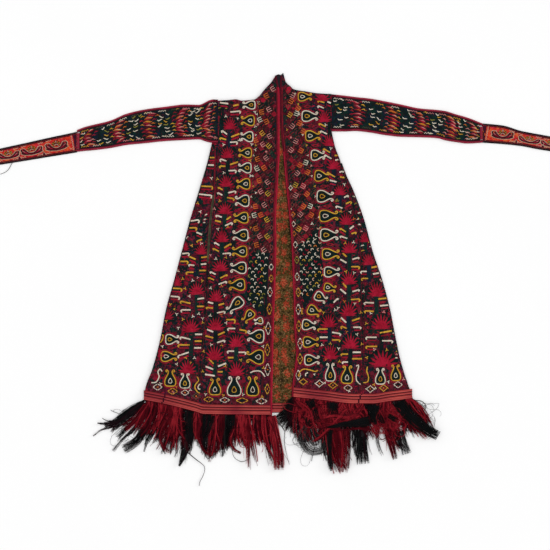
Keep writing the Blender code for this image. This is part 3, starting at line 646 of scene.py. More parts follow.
def ground_finish(name, stops, patch=11.0, stitch=2.3, flecks=(0.16, 0.02, 0.045)):
    """Silk ground covered in rows of stitches, whose colour and lie change from patch to patch, with painted
    shade between the rows and painted highlight on them.
    """
    finish = Finish(name, 0.7, 0.03)
    bent = finish.node("ShaderNodeVectorMath", operation="MULTIPLY_ADD")
    wander = finish.node("ShaderNodeTexNoise")
    finish.feed(wander.inputs["Vector"], finish.place)
    wander.inputs["Scale"].default_value = 1 / (patch * MM)
    finish.feed(bent.inputs[0], wander.outputs["Color"])
    bent.inputs[1].default_value = (patch * MM * 0.9,) * 3
    finish.feed(bent.inputs[2], finish.place)
    tint = finish.part(finish.cells(patch, "Color", bent.outputs[0]), 0)
    lie = finish.part(finish.cells(patch, "Color", bent.outputs[0]), 1)
    rows = finish.bands(stitch, 1.2, finish.turned(finish.maths("MULTIPLY", lie, math.pi)))
    base = finish.ramp(tint, stops, "CONSTANT")
    fleck = finish.ramp(finish.cells(3.6, "Color"), [(0.0, (0, 0, 0)), (0.74, (0, 0, 0)), (0.8, (1, 1, 1))])
    base = finish.blend(finish.maths("MULTIPLY", finish.part(fleck, 0), 0.75), base, flecks)
    # Painted shade in the troughs between the stitch rows and painted highlight on their crests
    lines = finish.ramp(rows, [(0.1, (0.45, 0.45, 0.45)), (0.6, (1.15, 1.15, 1.15))])
    finish.colour(finish.blend(1.0, base, lines, "MULTIPLY"))
    finish.roughness(rows, 0.82, 0.6)
    finish.bump(rows, 0.4)
    return finish.material


def woven_finish(name, dark, light, thread=1.1, roughness=0.8, sheen=0.05, wear=60.0):
    """Plain woven cloth: crossed threads over slow fading, with painted shade between the threads and painted
    highlight on them.
    """
    finish = Finish(name, roughness, sheen, light)
    warp = finish.bands(thread, 0.3)
    weft = finish.bands(thread, 0.3, None, "Y")
    weave = finish.maths("MAXIMUM", warp, weft)
    base = finish.ramp(finish.noise(wear, 4.0), [(0.32, dark), (0.68, light)])
    # Painted shade between the threads and painted highlight on their tops, following the bump
    painted_relief_shade = finish.ramp(weave, [(0.2, (0.6, 0.6, 0.6)), (0.9, (1.1, 1.1, 1.1))])
    finish.colour(finish.blend(1.0, base, painted_relief_shade, "MULTIPLY"))
    finish.roughness(weave, roughness + 0.08, roughness - 0.08)
    finish.bump(weave, 0.18)
    return finish.material


def printed_finish(name, ground, dark, rust, pale, pitch=29.0):
    """Printed cotton: uneven rust rosettes on olive brown, speckled all over and faded in places."""
    finish = Finish(name, 0.85, 0.02)
    tall = finish.node("ShaderNodeVectorMath", operation="MULTIPLY")
    finish.feed(tall.inputs[0], finish.place)
    tall.inputs[1].default_value = (1.0, 0.76, 1.0)
    bloom = finish.cells(pitch, place=tall.outputs[0], spread=0.5)
    ragged = finish.maths("ADD", bloom, finish.fit(finish.noise(6.0, 4.0), 0.25, 0.75, -0.30, 0.30))
    print_colour = finish.ramp(ragged, [
        (0.0, shade(rust, 0.6)), (0.1, shade(rust, 1.15)), (0.36, rust), (0.42, dark), (0.47, ground),
        (0.6, shade(ground, 1.25)), (0.72, dark),
    ])
    flecks = finish.ramp(finish.part(finish.cells(3.2, "Color"), 0), [(0.74, (0, 0, 0)), (0.8, (1, 1, 1))])
    base = finish.blend(finish.maths("MULTIPLY", finish.part(flecks, 0), 0.4), print_colour, pale)
    specks = finish.ramp(finish.part(finish.cells(3.0, "Color"), 1), [(0.66, (0, 0, 0)), (0.72, (1, 1, 1))])
    base = finish.blend(finish.maths("MULTIPLY", finish.part(specks, 0), 0.6), base, dark)
    faded = finish.ramp(finish.noise(45.0, 3.0), [(0.3, (0.75, 0.72, 0.7)), (0.7, (1.2, 1.15, 1.1))])
    warp = finish.bands(0.9, 0.3)
    # Painted shade between the warp threads and painted highlight on them, following the bump
    painted_relief_shade = finish.ramp(warp, [(0.1, (0.8, 0.8, 0.8)), (0.9, (1.1, 1.1, 1.1))])
    finish.colour(finish.blend(1.0, finish.blend(1.0, base, faded, "MULTIPLY"), painted_relief_shade, "MULTIPLY"))
    finish.roughness(warp, 0.92, 0.8)
    finish.bump(warp, 0.15)
    return finish.material


# Dyes that several cloths and threads share
BLACK_GREEN = (0.0045, 0.012, 0.012)
DARK_GREEN = (0.004, 0.022, 0.017)
NAVY = (0.005, 0.014, 0.026)
MAROON = (0.082, 0.007, 0.014)
PURPLE = (0.046, 0.006, 0.020)
CRIMSON = (0.40, 0.010, 0.036)
# Threads of the stitching: darkest and lightest dye of each
STITCH_THREADS = {
    "ivory": ((0.72, 0.62, 0.47), (0.94, 0.87, 0.74)),
    "mustard": ((0.58, 0.28, 0.025), (0.84, 0.50, 0.055)),
    "crimson": ((0.30, 0.006, 0.022), (0.52, 0.014, 0.048)),
    "red": ((0.22, 0.008, 0.020), (0.38, 0.018, 0.036)),
    "orange": ((0.56, 0.12, 0.02), (0.80, 0.24, 0.035)),
    "pink": ((0.58, 0.17, 0.17), (0.78, 0.36, 0.33)),
    "peach": ((0.62, 0.32, 0.22), (0.82, 0.52, 0.38)),
    "maroon": (shade(MAROON, 0.8), shade(MAROON, 1.5)),
    "purple": (shade(PURPLE, 0.8), shade(PURPLE, 1.6)),
    "green": (DARK_GREEN, shade(DARK_GREEN, 1.7)),
    "navy": (NAVY, shade(NAVY, 1.6)),
    "dark": (shade(BLACK_GREEN, 0.8), shade(BLACK_GREEN, 1.6)),
    "dusty": ((0.16, 0.040, 0.036), (0.30, 0.085, 0.070)),
    "lime": ((0.20, 0.19, 0.03), (0.42, 0.38, 0.07)),
    "olive": ((0.05, 0.055, 0.03), (0.12, 0.11, 0.06)),
}
# Woven cloths: material, darkest and lightest dye, width of a thread, roughness, sheen, size of a faded patch
WOVEN_CLOTHS = {
    "back": ("plain_back", (0.014, 0.012, 0.016), (0.030, 0.026, 0.032)),
    "edge": ("edge_binding", (0.26, 0.006, 0.022), (0.40, 0.012, 0.036), 0.9, 0.65, 0.08),
    "edge_shade": ("edge_binding_shade", (0.050, 0.004, 0.010), (0.11, 0.006, 0.016), 0.9),
    "sleeve_edge": ("sleeve_binding", (0.20, 0.014, 0.030), (0.33, 0.026, 0.052), 0.9, 0.65, 0.08),
    "strip_edge": ("strip_edge", (0.014, 0.008, 0.010), (0.030, 0.014, 0.016), 0.9),
    "braid": ("hem_braid", (0.19, 0.015, 0.021), (0.36, 0.042, 0.036), 1.2, 0.75, 0.05, 110.0),
    "braid_line": ("hem_braid_line", (0.018, 0.003, 0.008), (0.045, 0.005, 0.010), 1.2),
    "braid_light": ("hem_braid_ridge", (0.28, 0.034, 0.042), (0.52, 0.095, 0.080), 1.2, 0.75, 0.05, 110.0),
}
# Stitched grounds: material, where each dye starts, size of a patch, of a stitch, and the flecks' dye
STITCHED_GROUNDS = {
    "ground": ("embroidered_ground", [
        (0.0, BLACK_GREEN), (0.28, MAROON), (0.44, DARK_GREEN), (0.53, shade(MAROON, 1.7)),
        (0.62, PURPLE), (0.69, NAVY), (0.77, shade(CRIMSON, 0.5)), (0.87, BLACK_GREEN),
    ]),
    "field": ("embroidered_field", [
        (0.0, shade(MAROON, 0.7)), (0.26, (0.010, 0.008, 0.006)), (0.42, shade(MAROON, 1.6)),
        (0.56, BLACK_GREEN), (0.76, (0.030, 0.018, 0.008)), (0.86, shade(MAROON, 0.6)),
    ], 6.0, 1.9, (0.24, 0.065, 0.055)),
    "border": ("embroidered_border", [
        (0.0, shade(MAROON, 0.9)), (0.35, shade(MAROON, 1.5)), (0.62, (0.068, 0.006, 0.024)),
        (0.74, shade(MAROON, 0.6)), (0.86, BLACK_GREEN),
    ], 8.0, 2.0),
    "sleeve_ground": ("sleeve_ground", [
        (0.0, BLACK_GREEN), (0.34, DARK_GREEN), (0.56, NAVY), (0.80, BLACK_GREEN),
    ], 12.0, 2.3, (0.03, 0.006, 0.014)),
    "strip_ground": ("strip_ground", [
        (0.0, (0.58, 0.024, 0.020)), (0.4, (0.70, 0.050, 0.020)), (0.62, (0.42, 0.010, 0.024)),
        (0.78, (0.62, 0.030, 0.060)), (0.90, (0.72, 0.12, 0.035)),
    ], 9.0, 2.0, (0.60, 0.14, 0.05)),
}
# Printed lining: ground, dark speckle, rust rosettes, pale flecks
LINING_PRINT = ((0.084, 0.053, 0.014), (0.026, 0.016, 0.006), (0.36, 0.048, 0.022), (0.40, 0.22, 0.11))


def make_palette():
    """All finishes by name. A thread's name is its colour."""
    palette = {name: thread_finish(f"thread_{name}", *dyes) for name, dyes in STITCH_THREADS.items()}
    palette.update({name: ground_finish(*row) for name, row in STITCHED_GROUNDS.items()})
    palette["lining"] = printed_finish("printed_lining", *LINING_PRINT)
    palette.update({name: woven_finish(*row) for name, row in WOVEN_CLOTHS.items()})
    return palette


def fringe_finish(name, dark, light):
    """Loose silk: fine strands along the thread over slow changes of dye, with painted shade between the
    strands and painted highlight on them.
    """
    finish = Finish(name, 0.6, 0.03, light)
    dye = finish.noise(26.0, 3.0)
    strands = finish.noise(0.9, 1.0)
    base = finish.ramp(dye, [(0.3, dark), (0.7, light)])
    # Painted shade between the strands and painted highlight on them, following the bump
    painted_relief_shade = finish.ramp(strands, [(0.3, (0.7, 0.7, 0.7)), (0.7, (1.15, 1.15, 1.15))])
    finish.colour(finish.blend(1.0, base, painted_relief_shade, "MULTIPLY"))
    finish.roughness(strands, 0.48, 0.66)
    finish.bump(strands, 0.1)
    return finish.material


# Cloth


def add_piece(name, vertices, faces, materials, slots=None, slot="embroidered_silk", nodes=()):
    """Adds a piece from lists in millimetres, riding on the one body, and hides the imported parts that it
    stands for.
    """
    mesh = bpy.data.meshes.new(name)
    mesh.from_pydata([(x * MM, y * MM, z * MM) for x, y, z in vertices], [], faces)
    for material in materials:
        mesh.materials.append(material)
    if slots:
        mesh.polygons.foreach_set("material_index", slots)
    mesh.shade_smooth()
    mesh.update()
    piece = bpy.data.objects.new(name, mesh)
    bpy.context.scene.collection.objects.link(piece)
    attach(piece, "root")
    if nodes:
        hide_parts(*nodes)
    return piece


def shell(name, top, under, materials, slot, nodes, choose=None):
    """A closed piece of cloth between two grids of points, and the area of its top.

    choose gives a face's material by its row and column.
    """
    across = len(top[0])
    down = len(top)
    count = across * down
    vertices = [point for row in top for point in row] + [point for row in under for point in row]
    faces = []
    slots = []
    for r in range(down - 1):
        for c in range(across - 1):
            a = r * across + c
            pick = choose(r, c) if choose else 0
            faces.append((a, a + across, a + across + 1, a + 1))
            faces.append((count + a, count + a + 1, count + a + across + 1, count + a + across))
            slots += [pick, pick]
    rim = list(range(across))
    rim += [r * across + across - 1 for r in range(1, down)]
    rim += [(down - 1) * across + c for c in range(across - 2, -1, -1)]
    rim += [r * across for r in range(down - 2, 0, -1)]
    for a, b in zip(rim, rim[1:] + rim[:1]):
        faces.append((a, b, count + b, count + a))
        slots.append(choose(min(a // across, down - 2), min(a % across, across - 2)) if choose else 0)
    piece = add_piece(name, vertices, faces, materials, slots, slot, nodes)
    piece.data.set_sharp_from_angle(angle=math.radians(SHARP_ANGLE))
    return piece, laid_area(top)


def lowered(rows, depth):
    return [[(x, y, z - depth) for x, y, z in row] for row in rows]


def floored(rows):
    """The same points on the surface that the garment lies on."""
    return [[(x, y, 0.0) for x, y, _ in row] for row in rows]


def creased_below(rows):
    """The same points on the back's underside, which lies flat but for its shallow troughs."""
    return [[(x, y, max(fold_height(BACK_CREASES, x, y), 0.0)) for x, y, _ in row] for row in rows]


def panel_grid(left_x, right_x, top_y, hem_y, height, spacing, width, length):
    """Points down a panel, row by row, between its side lines and from its top line to its hem."""
    across = math.ceil(width / spacing)
    down = math.ceil(length / spacing)
    columns = []
    for i in range(across + 1):
        share = i / across
        top = meet(top_y, left_x, right_x, share)
        hem = meet(hem_y, left_x, right_x, share)
        column = []
        for k in range(down + 1):
            y = mix(top, hem, k / down)
            x = mix(left_x(y), right_x(y), share)
            column.append((x, y, height(x, y)))
        columns.append(column)
    return [[column[k] for column in columns] for k in range(down + 1)]


def laid_area(rows):
    """Area of a grid of points, in square metres, measured over its folds: the cloth that was cut for it."""
    area = 0.0
    for upper, lower in zip(rows, rows[1:]):
        for a, b, c, d in zip(upper, upper[1:], lower[1:], lower):
            ux, uy, uz = (c[i] - a[i] for i in range(3))
            vx, vy, vz = (d[i] - b[i] for i in range(3))
            area += math.hypot(uy * vz - uz * vy, uz * vx - ux * vz, ux * vy - uy * vx) / 2
    return area * MM * MM


def front_cloth():
    """The two fronts and their gores as fine shells."""
    half_seam = SEAM / 2
    # Node, side lines, top line, hem line, then the width and length that its grid is counted from
    plans = [
        ("front_left", lambda y: left_seam(y) + half_seam, left_edge, left_top, left_hem, 250, 1100),
        ("front_left_gore", left_side, lambda y: left_seam(y) - half_seam, lambda x: LEFT_GORE_TOP,
         left_hem, 190, 890),
        ("front_right", right_edge, lambda y: right_seam(y) - half_seam, right_top, right_hem, 240, 1070),
        ("front_right_gore", lambda y: right_seam(y) + half_seam, right_side, lambda x: RIGHT_GORE_TOP,
         right_hem, 180, 810),
    ]
    made = {}
    for name, left, right, top, hem, width, length in plans:
        rows = panel_grid(left, right, top, hem, body_top, GRID, width, length)
        made[name] = shell(f"cloth_{name}", rows, lowered(rows, FRONT_CLOTH), [PALETTE["ground"]],
                           "embroidered_silk", [name])
    return made


# The back's stand at the neck, which shows between the tips of the fronts: from x, to x, rise,
# and the width over which it rises
NECK_STAND = (2.0, 33.0, 9.5, 5.0)


def back_cloth():
    """The back's centre and gores. They rest flat, with a few shallow troughs in their undersides."""
    half_seam = SEAM / 2

    def neck_top(x):
        from_x, to_x, rise, run = NECK_STAND
        return back_top(x) + rise * min(smooth_step((x - from_x) / run), smooth_step((to_x - x) / run))

    # Node, side lines, top line, then the width and length that its grid is counted from
    plans = [
        ("back_panel", lambda y: left_seam(y) + half_seam, lambda y: right_seam(y) - half_seam,
         neck_top, 560, 1150),
        ("back_gore_left", left_side, lambda y: left_seam(y) - half_seam, lambda x: LEFT_GORE_TOP,
         190, 890),
        ("back_gore_right", lambda y: right_seam(y) + half_seam, right_side, lambda x: RIGHT_GORE_TOP,
         180, 810),
    ]
    made = {}
    for name, left, right, top, width, length in plans:
        rows = panel_grid(left, right, top, back_hem, lambda x, y: BACK_CLOTH, BACK_GRID, width, length)
        made[name] = shell(f"cloth_{name}", rows, creased_below(rows), [PALETTE["back"]], "plain_silk",
                           [name])
    return made


# Ridges across a hem braid from its upper edge: share of its width, height, finish
BRAID_RIBS = [
    (0.0, 0.0, 0), (0.04, 0.45, 0), (0.12, 0.6, 2), (0.20, 0.4, 0), (0.235, -0.1, 1), (0.325, -0.1, 0),
    (0.345, 0.45, 0), (0.42, 0.6, 2), (0.485, 0.4, 0), (0.51, -0.1, 1), (0.60, -0.1, 0), (0.62, 0.45, 0),
    (0.71, 0.6, 2), (0.80, 0.3, 0), (0.88, 0.6, 2), (0.96, 0.4, 0), (1.0, 0.0, 0),
]
# Share of those heights that is woven, and the room that the inner braid leaves for them
RIB_HEIGHT = 0.8
RIB_ROOM = 0.5
# Where two lengths of braid are joined on a slant: x of each joint, and the slant's width
BRAID_JOINTS = (-378.0, 287.0)
BRAID_LEAN = 12.0


def braid_rows(line, from_x, to_x, height):
    """Rows across a braid laid above a hem line."""
    steps = math.ceil((to_x - from_x) / GRID)
    rows = []
    for share, rise, _ in BRAID_RIBS:
        row = []
        for k in range(steps + 1):
            x = mix(from_x, to_x, k / steps)
            y = line(x) + BRAID * (1 - share)
            row.append((x, y, height(x, y) + rise * RIB_HEIGHT))
        rows.append(row)
    return rows


def hem_braids():
    """The striped braid over each front's hem and the one inside the back's hem."""

    def over_front(x, y):
        return body_top(x, y) + SEAM + BRAID_CLOTH

    def choose(r, c):
        across = (rows[r][c][0] + rows[r][c + 1][0]) / 2
        slant = BRAID_LEAN * (0.5 - BRAID_RIBS[r][0])
        joined = any(abs(across - joint - slant) < GRID / 2 for joint in BRAID_JOINTS)
        return 1 if joined else BRAID_RIBS[r][2]

    finishes = [PALETTE["braid"], PALETTE["braid_line"], PALETTE["braid_light"]]
    made = {}
    ends = (
        ("left", left_hem, left_side(-440), left_edge(-460)),
        ("right", right_hem, right_edge(-400), right_side(-410)),
    )
    for side, line, from_x, to_x in ends:
        rows = braid_rows(line, from_x, to_x, over_front)
        made[side] = shell(f"braid_{side}", rows, lowered(rows, BRAID_CLOTH), finishes, "hem_braid",
                           [f"hem_band_{side}"], choose)
    middle = (curve_value(OPENING, -480, 1) + curve_value(OPENING, -480, 2)) / 2
    low = back_hem(middle) + INNER_BRAID_ABOVE_HEM
    rows = braid_rows(lambda x: low + (INNER_BRAID - BRAID) / 2, -INNER_BRAID_REACH,
                      INNER_BRAID_REACH - LINING_TRIM,
                      lambda x, y: BACK_CLOTH + SEAM + INNER_BRAID_CLOTH - RIB_ROOM)
    made["inside"] = shell("braid_inside", rows, lowered(rows, INNER_BRAID_CLOTH - RIB_ROOM), finishes,
                           "hem_braid", ["hem_band_back"], choose)
    return made


# Across an edge binding: share of its width from its middle, height above the cloth
EDGE_ROLL = ((-0.5, -0.6), (-0.34, 0.1), (-0.12, 0.55), (0.12, 0.55), (0.34, 0.1), (0.5, -0.6))


def edge_bindings():
    """The crimson binding rolled over each front's edge, from the neck to the hem."""
    made = {}
    for side, column, top, hem in (("left", 1, left_top, left_hem), ("right", 2, right_top, right_hem)):
        start = top(curve_value(OPENING, 670, column))
        end = hem(curve_value(OPENING, -440, column))
        steps = math.ceil((start - end) / GRID)
        rows = []
        for k in range(steps + 1):
            y = mix(start, end, k / steps)
            middle = curve_value(OPENING, y, column)
            z = front_height(middle, y) + fold_height(BODY_CREASES, middle, y)
            rows.append([(middle + part * EDGE_BINDING, y, z + rise) for part, rise in EDGE_ROLL])
        under = [[(x, y, row[0][2] - EDGE_ROLL[0][1] - EDGE_BINDING_CLOTH) for x, y, _ in row]
                 for row in rows]
        dark_from = EDGE_SHADE_FROM if side == "right" else LEFT_EDGE_SHADE_FROM

        # Painted shade: the right binding's two inner columns, where it shadows the lining, and each
        # binding's upper stretch take the dark shade finish
        def choose(r, c):
            shadow_side = side == "right" and c < 2
            return 1 if shadow_side or rows[r][c][1] > dark_from else 0

        made[side] = shell(f"binding_front_{side}", rows, under, [PALETTE["edge"], PALETTE["edge_shade"]],
                           "edge_binding", [f"front_{side}_binding"], choose)
    return made


def lining_cloth():
    """The printed cotton that lines the back, seen between the fronts, rucked a little by wear."""
    steps = math.ceil((LINING_FROM - LINING_TO) / GRID)
    columns = 26
    middle = 23.0
    wave = 0.25
    top = []
    for k in range(steps + 1):
        y = mix(LINING_FROM, LINING_TO, k / steps)
        if k == steps:
            y = back_hem(middle) + INNER_BRAID + INNER_BRAID_ABOVE_HEM + SEAM
        left = curve_value(OPENING, y, 1) - LINING_TUCK
        clear_of_fringe = smooth_step((y - LINING_TO) / LINING_TRIM_RUN)
        right = curve_value(OPENING, y, 2) + mix(-LINING_TRIM, LINING_TUCK, clear_of_fringe)
        row = []
        for i in range(columns + 1):
            x = mix(left, right, i / columns)
            ruck = 0.5 * math.sin(x / 7.5 + y / 31.0) * math.sin(y / 23.0 + 1.0)
            row.append((x, y, LINING_TOP - wave + wave * ruck))
        top.append(row)
    under = [[(x, y, BACK_CLOTH + SEAM) for x, y, _ in row] for row in top]
    return shell("cloth_lining", top, under, [PALETTE["lining"]], "printed_cotton", ["back_lining"])


# Long edges of a sleeve or a strip: name, column of its rows, the way into the cloth
LONG_EDGES = (("bottom", 1, 1), ("top", 2, -1))
# Across their bindings from the outside: share of the width, share of the cloth's thickness
SLEEVE_ROLL = ((0.0, 0.30), (0.05, 0.72), (0.18, 0.96), (0.38, 1.06), (0.62, 1.08), (0.85, 1.0), (1.0, 0.86))
STRIP_ROLL = ((0.0, 0.4), (0.12, 0.8), (0.35, 1.05), (0.7, 1.08), (1.0, 0.95))
# Faces across a sleeve's front, across its back, across a strip, and along a sleeve's end binding
SLEEVE_COLUMNS = 26
SLEEVE_BACK_COLUMNS = 10
STRIP_COLUMNS = 12
END_STEPS = 12
# The column of a sleeve binding from which it lies in shade
SHADED_FROM = 4


def rolled(rows, stations, column, into, width, cloth, profile):
    """Rows of points across a rolled binding, one at each station along an edge."""
    top = []
    for x in stations:
        edge = curve_value(rows, x, column)
        top.append([(x, edge + into * part * width, rise * cloth) for part, rise in profile])
    return top


def sleeve_cloth(side, rows):
    """A sleeve's front layer and back layer, and the bindings on its long edges and its hand end."""
    hand, armhole = (rows[0][0], rows[-1][0]) if side == "left" else (rows[-1][0], rows[0][0])
    inward = 1 if side == "left" else -1
    inset = SLEEVE_BINDING + SEAM
    first = hand + inward * inset
    last = armhole - inward * SEAM / 2
    steps = math.ceil(abs(last - first) / GRID)
    front = []
    back = []
    for k in range(steps + 1):
        x = mix(min(first, last), max(first, last), k / steps)
        low = curve_value(rows, x, 1) + inset
        high = curve_value(rows, x, 2) - inset
        line = []
        for i in range(SLEEVE_COLUMNS + 1):
            y = mix(low, high, i / SLEEVE_COLUMNS)
            line.append((x, y, sleeve_top(x, y)))
        front.append(line)
        back.append([(x, mix(low, high, i / SLEEVE_BACK_COLUMNS), SLEEVE_CLOTH)
                     for i in range(SLEEVE_BACK_COLUMNS + 1)])
    made = {}
    made["front"] = shell(f"cloth_sleeve_{side}_front", front, lowered(front, SLEEVE_CLOTH),
                          [PALETTE["sleeve_ground"]], "embroidered_silk", [f"sleeve_{side}_front"])
    made["back"] = shell(f"cloth_sleeve_{side}_back", back, creased_below(back), [PALETTE["back"]],
                         "plain_silk", [f"sleeve_{side}_back"])
    end = hand + inward * SEAM / 2
    stations = [mix(end, last, k / steps) for k in range(steps + 1)]
    for place, column, into in LONG_EDGES:
        top = rolled(rows, stations, column, into, SLEEVE_BINDING, SLEEVE_BINDING_CLOTH, SLEEVE_ROLL)

        def choose(r, c):
            by_shoulder = place == "top" and r > steps - SHADED_STEPS
            return 1 if c >= SHADED_FROM or by_shoulder else 0

        made[place] = shell(f"binding_sleeve_{side}_{place}", top, floored(top),
                            [PALETTE["sleeve_edge"], PALETTE["edge_shade"]], "sleeve_binding",
                            [f"sleeve_{side}_binding_{place}"], choose)
    low = curve_value(rows, end, 1) + inset + END_SLACK
    high = curve_value(rows, end, 2) - inset - END_SLACK
    top = []
    for k in range(END_STEPS + 1):
        y = mix(low, high, k / END_STEPS)
        top.append([(end + inward * part * (SLEEVE_BINDING - SEAM), y, rise * SLEEVE_BINDING_CLOTH)
                    for part, rise in SLEEVE_ROLL])
    made["end"] = shell(f"binding_sleeve_{side}_end", top, floored(top), [PALETTE["sleeve_edge"]],
                        "sleeve_binding", [f"sleeve_{side}_binding_end"])
    return made


def strip_height(share):
    """Top of a padded strip at this share of its width."""
    return STRIP_CLOTH + STRIP_CROWN * math.sin(math.pi * min(max(share, 0.0), 1.0))


def strip_ruck(x):
    """How far a strip rises and falls along its length."""
    return 0.18 * math.sin(x / 19.0)


def strip_cloth(side, rows):
    """The orange strip past a sleeve's end and the dark bindings on its long edges."""
    inset = STRIP_BINDING + SEAM
    steps = math.ceil((rows[-1][0] - rows[0][0]) / GRID)
    stations = [mix(rows[0][0], rows[-1][0], k / steps) for k in range(steps + 1)]
    body = []
    for x in stations:
        low = curve_value(rows, x, 1) + inset
        high = curve_value(rows, x, 2) - inset
        shares = [i / STRIP_COLUMNS for i in range(STRIP_COLUMNS + 1)]
        body.append([(x, mix(low, high, share), strip_height(share) + strip_ruck(x)) for share in shares])
    made = {}
    made["body"] = shell(f"cloth_strip_{side}", body, floored(body), [PALETTE["strip_ground"]],
                         "strip_silk", [f"strip_{side}"])
    for place, column, into in LONG_EDGES:
        top = rolled(rows, stations, column, into, STRIP_BINDING, STRIP_CLOTH, STRIP_ROLL)
        made[place] = shell(f"binding_strip_{side}_{place}", top, floored(top), [PALETTE["strip_edge"]],
                            "strip_edge", [f"strip_{side}_binding_{place}"])
    return made


# Embroidery


def placed(x, y, turn=0.0):
    """Turns a motif's own (along, across) into the garment's (x, y). turn is in degrees."""
    c = math.cos(math.radians(turn))
    s = math.sin(math.radians(turn))
    return lambda u, v: (x + u * c - v * s, y + u * s + v * c)


def smooth_path(points, step=3.5, closed=False):
    """Points along a smooth curve through the given ones, about a step apart."""
    count = len(points)
    made = []
    for i in range(count if closed else count - 1):
        if closed:
            p = [points[(i + k) % count] for k in (-1, 0, 1, 2)]
        else:
            p = [points[min(max(i + k, 0), count - 1)] for k in (-1, 0, 1, 2)]
        pieces = max(1, round(math.dist(p[1], p[2]) / step))
        for k in range(pieces):
            t = k / pieces
            made.append(tuple(
                0.5 * (2 * b + (c - a) * t + (2 * a - 5 * b + 4 * c - d) * t * t
                       + (3 * b - a - 3 * c + d) * t**3)
                for a, b, c, d in zip(*p)
            ))
    if not closed:
        made.append(points[-1])
    return made


def beside(path, distance):
    """The path moved to its left."""
    moved = []
    for i, (x, y) in enumerate(path):
        x0, y0 = path[max(i - 1, 0)]
        x1, y1 = path[min(i + 1, len(path) - 1)]
        length = math.hypot(x1 - x0, y1 - y0) or 1.0
        moved.append((x - distance * (y1 - y0) / length, y + distance * (x1 - x0) / length))
    return moved


class Stitching:
    """Raised threads and flat fills that lie on one stretch of cloth, gathered into one piece."""

    def __init__(self, height, inside):
        self.height = height
        self.inside = inside
        self.vertices = []
        self.faces = []
        self.colours = []

    def vertex(self, x, y, lift):
        self.vertices.append((x, y, self.height(x, y) + lift))
        return len(self.vertices) - 1

    def face(self, corners, colour):
        area = 0.0
        for a, b in zip(corners, corners[1:] + corners[:1]):
            area += self.vertices[a][0] * self.vertices[b][1] - self.vertices[b][0] * self.vertices[a][1]
        self.faces.append(tuple(corners) if area > 0 else tuple(reversed(corners)))
        self.colours.append(colour)

    def thread(self, path, width, colour, closed=False, rise=RIBBON_RISE, taper=0.0, lift=0.0):
        """A rounded line of stitches. taper is the share of its length that narrows at each end."""
        count = len(path)
        before = None
        for i in list(range(count)) + ([0] if closed else []):
            x, y = path[i]
            x0, y0 = path[i - 1] if closed or i else path[0]
            x1, y1 = path[(i + 1) % count] if closed or i < count - 1 else path[-1]
            length = math.hypot(x1 - x0, y1 - y0)
            if length < 1e-6 or not self.inside(x, y):
                before = None
                continue
            half = width / 2
            if taper:
                half *= 0.2 + 0.8 * smooth_step(min(i, count - 1 - i) / (taper * (count - 1)))
            across_x = -(y1 - y0) / length * half
            across_y = (x1 - x0) / length * half
            row = [
                self.vertex(x + across_x, y + across_y, lift + RIBBON_EDGE),
                self.vertex(x, y, lift + rise),
                self.vertex(x - across_x, y - across_y, lift + RIBBON_EDGE),
            ]
            if before:
                self.face([before[0], before[1], row[1], row[0]], colour)
                self.face([before[1], before[2], row[2], row[1]], colour)
            before = row

    def fill(self, rows, colour, lift=FILL_LIFT):
        """A flat area of stitches over a grid of points."""
        kept = [[self.inside(x, y) for x, y in row] for row in rows]
        made = {}

        def corner(r, c):
            if (r, c) not in made:
                made[r, c] = self.vertex(*rows[r][c], lift)
            return made[r, c]

        for r in range(len(rows) - 1):
            for c in range(len(rows[0]) - 1):
                around = ((r, c), (r + 1, c), (r + 1, c + 1), (r, c + 1))
                if all(kept[i][k] for i, k in around):
                    self.face([corner(i, k) for i, k in around], colour)

    def piece(self, name, slot="embroidered_silk"):
        names = sorted(set(self.colours))
        slots = [names.index(colour) for colour in self.colours]
        return add_piece(name, self.vertices, self.faces, [PALETTE[colour] for colour in names], slots, slot)


def dash(at, length, bow):
    """A short line, bowed in its middle, about a point given by a motif's own places."""
    return [at(t * length, bow * (1 - 4 * t * t)) for t in (-0.5, -0.25, 0.0, 0.25, 0.5)]


# Half of a pear's outline from its closed end: share of its length, share of its width
PEAR_ARM = [
    (0.0, 0.0), (0.0, 0.19), (0.03, 0.37), (0.12, 0.48), (0.27, 0.50), (0.41, 0.46), (0.54, 0.37),
    (0.66, 0.27), (0.77, 0.19), (0.87, 0.17), (0.94, 0.21), (0.985, 0.29), (0.965, 0.37), (0.90, 0.385),
    (0.865, 0.33), (0.885, 0.275),
]
PEAR_BODY = 8
# Share of a pear's given width that its threads take up, and points round the drop in its middle
PEAR_WIDTH = 0.92
DROP_POINTS = 14
# How far outside a pear's outline its ground lies, from and to, and its crimson line. How far inside
# the outline its green line lies
PEAR_GROUND = (1.0, 7.2)
PEAR_CRIMSON = 5.4
PEAR_GREEN = 3.8


